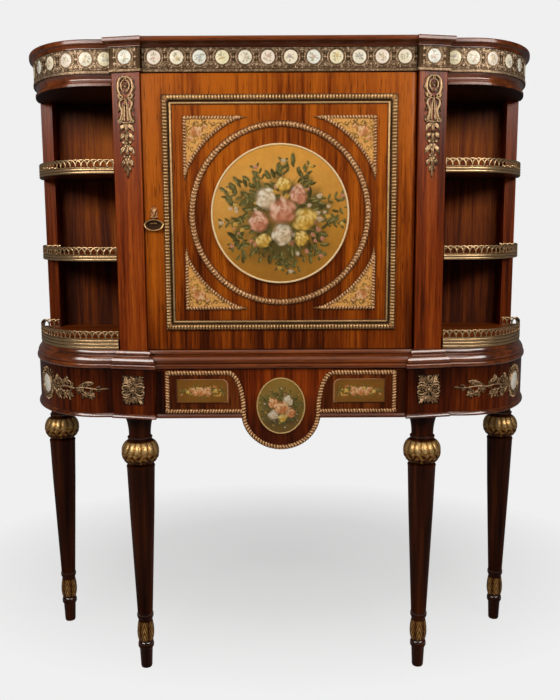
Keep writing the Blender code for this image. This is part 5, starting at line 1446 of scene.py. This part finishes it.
def golden_ground(canvas, low, high, reach):
    """A ground that runs from olive brown below to warm gold above, with a soft cloud in the middle."""
    up = np.clip((canvas.spots[:, 1] - low) / (high - low), 0.0, 1.0)
    canvas.colour[:] = (1 - up)[:, None] * (0.355, 0.155, 0.019) + up[:, None] * (0.66, 0.300, 0.040)
    canvas.touch((-0.10 * reach, 0.25 * reach), reach * 0.95, reach * 0.8, 0.3, (0.80, 0.420, 0.105), 1.0,
                 0.7)
    canvas.touch((-0.80 * reach, 0.10 * reach), reach * 0.55, reach * 0.7, 0.2, (0.66, 0.330, 0.068), 1.0,
                 0.8)
    canvas.touch((0.02 * reach, -0.52 * reach), reach * 0.78, reach * 0.26, 0.05, (0.095, 0.058, 0.015),
                 1.0, 0.95)


DOOR_FACE, DOOR_Z, MEDALLION_R = CENTRE_Y + 0.001, 0.94515, 0.1325
on_door = facing(0.0, DOOR_FACE, DOOR_Z)
medallion = loft(dome_rings(MEDALLION_R, MEDALLION_R, 0.0120, 0.0052, 132, 400))
picture = Canvas(medallion[0][:, :2], (0.5, 0.3, 0.07))
golden_ground(picture, -MEDALLION_R, MEDALLION_R, MEDALLION_R)
bouquet(picture, (0.002, -0.004), 0.097, np.random.default_rng(11),
        ((-0.30, 0.34, 0.25, CREAMS), (0.34, 0.42, 0.22, PINKS), (0.46, -0.06, 0.27, YELLOWS),
         (-0.44, -0.10, 0.24, PINKS), (0.02, -0.34, 0.25, CREAMS), (0.02, 0.10, 0.31, PINKS),
         (0.40, -0.44, 0.17, YELLOWS), (-0.36, -0.48, 0.17, YELLOWS), (0.05, 0.62, 0.17, YELLOWS)))
piece("door_medallion_painted", "door", "porcelain", porcelain, [set_on(on_door, medallion)],
      ["door_medallion"], paint=picture.colour)
rim = stroke(arc((0.0, 0.0), (0.1308, 0.1308), 0, 360, 240), 0.0020, 0.0030, base=0.0050, tone=(0.8, 1.0))
piece("door_medallion_rim", "door", "bronze", bright_gilt, [set_on(on_door, rim)])

pendant = loft(dome_rings(0.0485, 0.0570, 0.0060, 0.0025, 84, 260))
pendant_picture = Canvas(pendant[0][:, :2], (0.3, 0.2, 0.05))
golden_ground(pendant_picture, -0.057, 0.057, 0.055)
pendant_picture.colour *= (0.40, 0.50, 0.62)
bouquet(pendant_picture, (0.0, -0.004), 0.0365, np.random.default_rng(23),
        ((-0.42, 0.30, 0.34, ROSES), (0.36, 0.40, 0.34, CREAMS), (0.46, -0.24, 0.38, ROSES),
         (-0.40, -0.36, 0.34, CREAMS), (0.08, -0.52, 0.30, YELLOWS), (0.00, 0.04, 0.46, ROSES)), florets=18)
on_pendant = facing(0.0, APRON_FACE, 0.572)
piece("pendant_oval_painted", "cabinet", "porcelain", porcelain, [set_on(on_pendant, pendant)],
      ["pendant_medallion"], paint=pendant_picture.colour)
pendant_rim = stroke(arc((0.0, 0.0), (0.0466, 0.0551), 0, 360, 120), 0.0017, 0.0024, base=0.0018,
                     tone=(0.0, 0.55))
piece("pendant_oval_rim", "cabinet", "bronze", bright_gilt, [set_on(on_pendant, pendant_rim)])

# %% [markdown]
# ## The door's frame, ring and corner plates
#
# A square frame of gadroons, short rounded ribs across its run, stands on the door with a plain bright
# fillet inside it. A ring of small leaves goes round the medallion, and each corner between the two
# holds a painted plate in a ribbed border. The frame is four mitred strips made once and turned by
# quarter turns; the ring is the same idea wrapped round a circle.

# %% Frame of gadroons
def gadrooned(along, w, pitch):
    """Height 0 to 1 across a moulding (w = 0 outside, 1 inside): one row of leaning ribs, a groove, a
    smooth fillet."""
    arch = np.clip(1 - (np.abs(w - 0.31) / 0.31) ** 2.6, 0.0, 1.0) ** 0.5
    rib = np.abs(np.cos(np.pi * (along / pitch + 0.06 * (w - 0.31)))) ** 0.8
    tip = 0.5 + 0.5 * np.cos(2 * np.pi * along / pitch) * np.cos(7.0 * (w - 0.31))
    lobes = arch * (0.35 + 0.45 * rib + 0.20 * tip)
    fillet = np.clip(1 - np.abs((w - 0.86) / 0.13) ** 4, 0.0, 1.0)
    height = np.where(w < 0.66, 0.22 + 0.78 * lobes, 0.16 + 0.28 * fillet)
    return height, np.where(w < 0.66, 1.08 * lobes ** 1.15, 0.12 + 0.70 * fillet)


def frame_side():
    half, width, rise = 0.2235, 0.0190, 0.0080
    count = 6 * 74
    t = np.linspace(-1.0, 1.0, count + 1)[:, None]
    w = np.array([0.0, 0.03, 0.08, 0.15, 0.22, 0.29, 0.33, 0.40, 0.47, 0.54, 0.62, 0.67, 0.70, 0.745, 0.80,
                  0.86, 0.92, 0.97, 1.0])[None]
    high, tone = gadrooned(t * (half - width * w), w + 0 * t, 0.0060)
    w_all = np.concatenate([[[0.0]], w, [[1.0]]], axis=1)
    base = np.zeros((count + 1, 1))
    high = np.concatenate([base, high, base], axis=1) * rise
    tone = np.concatenate([base, tone, base], axis=1)
    reach = half - width * w_all
    return loft(np.stack([t * reach, reach + 0 * t, high], axis=-1), tone)


side = frame_side()
corner_leaves = []
for turn in (0, 90, 180, 270):
    for way in (-38, 0, 38):
        blade = moved(leaf(path_mm((-6.5, 0), (0, 0), (8.5, 0), count=9), 0.0034, 0.0030, 1, base=0.0058),
                      0, 0, 45 + way)
        corner_leaves.append(moved(moved(blade, 0.2150, 0.2150), 0, 0, turn))
frame_shapes = [moved(side, 0, 0, turn) for turn in (0, 90, 180, 270)] + corner_leaves
piece("door_frame_gadrooned", "door", "bronze", bronze, [set_on(on_door, shape) for shape in frame_shapes],
      ["door_frame_moulding"], crease=70)

# %% Ring of leaves
def leaf_ring(outer, width, rise, leaves):
    """A closed moulding: height = rise sqrt(1 - v^2) (0.62 + 0.38 leaf), the leaves in pairs with a
    twist between them."""
    turn = np.linspace(0.0, 2 * np.pi, leaves * 7, endpoint=False)[:, None]
    v = np.linspace(-1.0, 1.0, 13)[None]
    beat = np.cos(2 * leaves * turn - 5.0 * v) * np.cos(0.37 * leaves * turn)
    slant = 0.6 * np.cos(leaves * turn + 2.6 * np.abs(v)) + 0.4 * beat
    dome = np.sqrt(np.clip(1 - v ** 2, 0.0, 1.0))
    high = rise * dome * (0.80 + 0.20 * slant)
    radius = outer - width * (0.5 - 0.5 * v)
    points = np.stack([radius * np.cos(turn), radius * np.sin(turn), high], axis=-1)
    return loft(points, np.clip(0.60 + 0.34 * slant, 0, 1) * dome ** 0.9, closed=True)


piece("door_ring_leafed", "door", "bronze", rose_bronze,
      [set_on(on_door, leaf_ring(0.1755, 0.0128, 0.0060, 160))], ["door_ring_moulding"], crease=70)

# %% Corner plates
CORNER, ARC_R = 0.1826, 0.1958


def corner_plate():
    """Rays from the square corner to the hollow arc: point = corner + u (arc(t) - corner)."""
    tip = math.asin(CORNER / ARC_R)
    turn = np.linspace(tip, math.pi / 2 - tip, 90)[:, None]
    u = np.concatenate([np.linspace(0.0, 1.0, 64), [1.0, 0.0]])[None]
    out = np.concatenate([np.full(64, 0.0022), [0.0, 0.0]])[None]
    x = CORNER + u * (ARC_R * np.cos(turn) - CORNER)
    z = CORNER + u * (ARC_R * np.sin(turn) - CORNER)
    return loft(np.stack([x, z, out + 0 * turn], axis=-1))


def corner_border():
    near, radius = CORNER - 0.0022, ARC_R + 0.0022
    tip = math.degrees(math.asin(near / radius))
    hollow = arc((0.0, 0.0), (radius, radius), tip, 90 - tip, 40)
    return [ribbed(np.array([(near, hollow[-1][1] - 0.006), (near, near + 0.003)]), 0.0040, 0.0054, 0.0058),
            ribbed(np.array([(hollow[0][0] - 0.006, near), (near + 0.003, near)]), 0.0040, 0.0054, 0.0058),
            ribbed(hollow, 0.0040, 0.0054, 0.0058)] + corner_tails(near, hollow[0][0])


def corner_tails(near, end):
    """The border's two long points: each runs on along its side and tapers away."""
    line = np.column_stack([np.linspace(end + 0.004, end - 0.019, 12),
                            np.linspace(near, near + 0.0008, 12)])
    wide, high = taper(12, 0.0042, 0.0027, 0.0005), taper(12, 0.0050, 0.0034, 0.0008)
    return [stroke(path, wide, high, tone=(0.1, 0.75)) for path in (line, line[:, ::-1])]


plate = corner_plate()
plate_canvas = Canvas(plate[0][:, :2], (0.74, 0.375, 0.100))
dice = np.random.default_rng(31)
for k in range(26):
    eye = np.array([0.182, 0.182]) - np.abs(dice.normal(0, 0.048, 2)) - 0.003
    turns = np.linspace(0.0, dice.choice([-1, 1]) * 5.5, 12) + dice.uniform(0, 6.28)
    coil = eye + np.linspace(0.0058, 0.0012, 12)[:, None] * np.column_stack([np.cos(turns), np.sin(turns)])
    plate_canvas.stem(coil, 0.0010, (0.085, 0.040, 0.010))
for k in range(190):
    spot = np.array([0.184, 0.184]) - np.abs(dice.normal(0, 0.050, 2)) - 0.003
    plate_canvas.touch(spot, dice.uniform(0.0014, 0.0030), 0.0011, dice.uniform(0, 3.14),
                       (0.095, 0.046, 0.011), 0.6, 0.85)
for k in range(22):
    spot = np.array([0.158, 0.155]) + dice.normal(0, 0.0090, 2)
    plate_canvas.leaf(spot, 0.0085, dice.uniform(0, 6.28), (0.20, 0.115, 0.025), (0.42, 0.26, 0.070))
for across, up, wide in ((0.1420, 0.1640, 0.0056), (0.1700, 0.1420, 0.0058), (0.1580, 0.1560, 0.0135)):
    plate_canvas.rose((across, up), wide, *ROSES, twist=across * 300)
border = corner_border()
for high_word, up in (("top", 1.0), ("bottom", -1.0)):
    for word, way in (("left", -1.0), ("right", 1.0)):
        place = [(shape[0] * (way, up, 1.0), shape[1], shape[2]) for shape in [plate] + border]
        placed = [set_on(on_door, shape) for shape in place]
        node = "spandrel_" + high_word + "_" + word
        piece(node + "_painted", "door", "porcelain", porcelain, placed[:1], [node],
              paint=plate_canvas.colour)
        piece(node + "_border", "door", "bronze", rose_bronze, placed[1:], crease=70)

# %% [markdown]
# ## The drop pull
#
# A small leaf plate holds a pin, and an oval drop hangs from it and swings up for the fingers. The drop
# rides on its own body; the leaf plate stays with the door.

# %% Pull
PULL = (-0.242, DOOR_FACE - 0.0082, 0.93965)


def rod(radius, half, around=14):
    """A round bar along the across axis, with its middle at the origin."""
    turn = np.linspace(0.0, 2 * np.pi, around, endpoint=False)[None]
    across = np.array([-half, half])[:, None]
    return loft(np.stack([across + 0 * turn, radius * np.cos(turn) + 0 * across,
                          radius * np.sin(turn) + 0 * across], axis=-1), 0.6)


def drop_oval():
    """Rings of an oval from the middle of its back round a raised rim to the dished middle of its front."""
    steps = np.array([(0.0, -0.0016), (0.90, -0.0018), (0.985, -0.0010), (1.0, 0.0), (0.985, 0.0012),
                      (0.93, 0.0019), (0.86, 0.0016), (0.79, 0.0004), (0.72, -0.0004), (0.40, -0.0009),
                      (0.0, -0.0007)])
    tone = np.array([0.2, 0.3, 0.6, 0.85, 1.0, 1.0, 0.8, 0.0, -0.3, -0.3, -0.3])[:, None]
    turn = np.linspace(0.0, 2 * np.pi, 56, endpoint=False)[None]
    q, out = steps[:, :1], steps[:, 1:]
    return loft(np.stack([0.0192 * q * np.cos(turn), -0.0144 + 0.011 * q * np.sin(turn), out + 0 * turn],
                         axis=-1), tone)


# The lip is a low bar across the upper dish; its lighter tone is a painted highlight streak on the dark dish.
lip = stroke(path_mm((-6.5, -11.6), (0, -11.0), (6.5, -11.6), count=12), 0.0015, 0.0010, base=-0.0010,
             tone=(-0.2, 0.5))
neck = stroke(path_mm((0, -4.4), (0, -2.6), (0, -1.2), count=6), 0.0016, 0.0014, base=-0.0007)
drop_shapes = [set_on(facing(*PULL), shape) for shape in (drop_oval(), rod(0.0026, 0.0023), neck, lip)]
piece("pull_drop_oval", "pull", "bronze", bronze, drop_shapes, ["pull_drop"])

on_stile = facing(PULL[0], DOOR_FACE, PULL[2])
plume = [leaf(path_mm((0, 2), (0, 13), (0, 24), count=12), 0.0044, 0.0034, 2),
         beads(np.array([(0, 12.0), (0, 0.0)]) * mm, 0.0026, 0.0040)]
fronds = paired([leaf(path_mm((1, 2), (5, 7), (6.6, 13), count=9), 0.0026, 0.0030, 1),
                 leaf(path_mm((1, 1), (5, 2.5), (6.9, -2), count=9), 0.0024, 0.0028, 1),
                 leaf(path_mm((1, 12), (4, 16), (5.0, 20), count=8), 0.0020, 0.0028),
                 beads(np.array([(3.3, 0.0)]) * mm, 0.0018, 0.0104, 10)])
pin = set_on(facing(*PULL), rod(0.0010, 0.0042))
piece("pull_crest_leafed", "door", "bronze", rose_bronze,
      [set_on(on_stile, shape) for shape in plume + fronds] + [pin], ["pull_crest"], crease=60)

# %% [markdown]
# ## Finishes for the plain CAD parts
#
# The boards behind the shelves, the shelves themselves and the small ironwork have the right shape
# already, so they stay as they are and only get a finish.

# %% Steel, plastic, and the finish of each plain part
def plain_finish(name, dark, pale, metallic, gloss, scale):
    plain = Finish(name)
    place = plain.place()
    speck = plain.noise(place, scale, 4.0, 0.65)
    plain.dents(speck, 0.0001, 0.4)
    return plain.done(base_color=plain.ramp(speck, (0.35, dark), (0.65, pale)), metallic=metallic,
                      roughness=gloss + (speck - 0.5) * 0.2)


steel = plain_finish("hinge_steel", (0.26, 0.25, 0.24), (0.50, 0.49, 0.47), 1.0, 0.34, 420.0)
plastic = plain_finish("catch_plastic", (0.035, 0.020, 0.012), (0.055, 0.032, 0.020), 0.0, 0.45, 900.0)
finishes = {"door_panel": door_wood, "back_panel": panel_wood, "back_post_": case_wood,
            "case_side_": case_wood, "frieze_rail": case_wood, "back_rail": case_wood,
            "inner_shelf": shelf_wood, "end_shelf_": shelf_wood, "base_shelf_": shelf_wood, "hinge_": steel,
            "catch_plate": steel, "catch_magnet": plastic}
for start, finish in finishes.items():
    dressed = [name for name in nodes if name.startswith(start)]
    for name in dressed:
        nodes[name].data.materials.clear()
        nodes[name].data.materials.append(finish)
    print(finish.name, "on", dressed)

# %% [markdown]
# ## Studio
#
# The cabinet stands on a pale floor under soft light: a wide panel above and in front, and one at each
# side that draws the streaks on the mouldings. The floor close to the feet is a real surface, so it
# keeps the shadow; further off it fades into a plain backdrop colour, which the world shares.

# %% Light and floor
def panel_light(name, place, aim, wide, high, power, warmth=(1.0, 1.0, 1.0), spread=180):
    lamp = bpy.data.lights.new(name, "AREA")
    lamp.shape = "RECTANGLE"
    lamp.size, lamp.size_y = wide, high
    lamp.energy = power
    lamp.color = warmth
    lamp.spread = math.radians(spread)
    holder = bpy.data.objects.new(name, lamp)
    bpy.context.collection.objects.link(holder)
    way = Vector(aim) - Vector(place)
    holder.matrix_world = Matrix.Translation(place) @ way.to_track_quat("-Z", "Y").to_matrix().to_4x4()
    print(name, power, "W")


panel_light("upper_panel", (0.0, -0.95, 2.05), (0.0, -0.10, 1.28), 1.9, 1.1, 3.0, (1.0, 0.95, 0.88), 100)
panel_light("left_panel", (-1.225, -1.29, 1.55), (-0.10, -0.12, 1.00), 1.46, 0.46, 17.5, (1.0, 0.96, 0.915))
panel_light("right_panel", (1.225, -1.29, 1.55), (0.10, -0.12, 1.00), 1.46, 0.46, 16.5, (1.0, 0.96, 0.915))

BACKDROP = (0.868, 0.868, 0.868, 1.0)


def studio_world():
    """Pale to the eye, a soft fill from behind the cabinet, and dark in front of it, where the room is
    unlit."""
    studio = Finish("pale_studio", bpy.data.worlds, "Background")
    way = studio.node("SeparateXYZ", {}, {0: studio.node("TexCoord", output="Generated")}, output="Y")
    behind = studio.ramp(way, (0.35, grey(0.022)), (0.95, grey(0.09)))
    fill = studio.ramp(way, (0.10, grey(0.045)), (0.80, grey(0.50)))
    eye, gloss, glass = (studio.node("LightPath", output=kind)
                         for kind in ("Is Camera Ray", "Is Glossy Ray", "Is Transmission Ray"))
    seen = (gloss + glass) * behind
    studio.feed(studio.shader, {"Color": BACKDROP, "Strength": eye
                                + (1 - eye) * (seen + (1 - gloss - glass) * fill)})
    return studio.material


bpy.context.scene.world = studio_world()


def pale_floor():
    """A floor that is a lit surface near the cabinet and the backdrop's own colour further off."""
    floor = Finish("pale_floor")
    place = floor.place()
    speck = floor.noise(place, 90.0, 3.0)
    floor.feed(floor.shader, {"Base Color": floor.ramp(speck, (0.3, grey(0.55)), (0.7, grey(0.57))),
                              "Roughness": 0.7, "Specular IOR Level": 0.1})
    spread = floor.node("Mapping", {}, {"Vector": place, "Scale": (1.05, 1.45, 1.0),
                                        "Location": (0.0, -0.70, 0.0)})
    far = floor.node("VectorMath", {"operation": "LENGTH"}, {0: spread}, output="Value")
    fade = floor.ramp(far, (0.0, grey(0.63)), (0.45, grey(0.71)), (1.0, WHITE))
    backdrop = floor.node("Emission", {}, {"Color": BACKDROP, "Strength": 1.0}, output="Emission")
    lit = Wire(floor, floor.shader.outputs["BSDF"])
    eye = floor.node("LightPath", output="Is Camera Ray")
    blend = floor.node("MixShader", {}, {0: fade * eye, 1: lit, 2: backdrop}, output="Shader")
    floor.feed(floor.tree.nodes["Material Output"], {"Surface": blend})
    return floor.material


bpy.ops.mesh.primitive_plane_add(size=14.0)
ground = bpy.context.object
ground.name = "pale_floor"
ground.data.materials.append(pale_floor())
bpy.context.scene.view_settings.view_transform = "Standard"
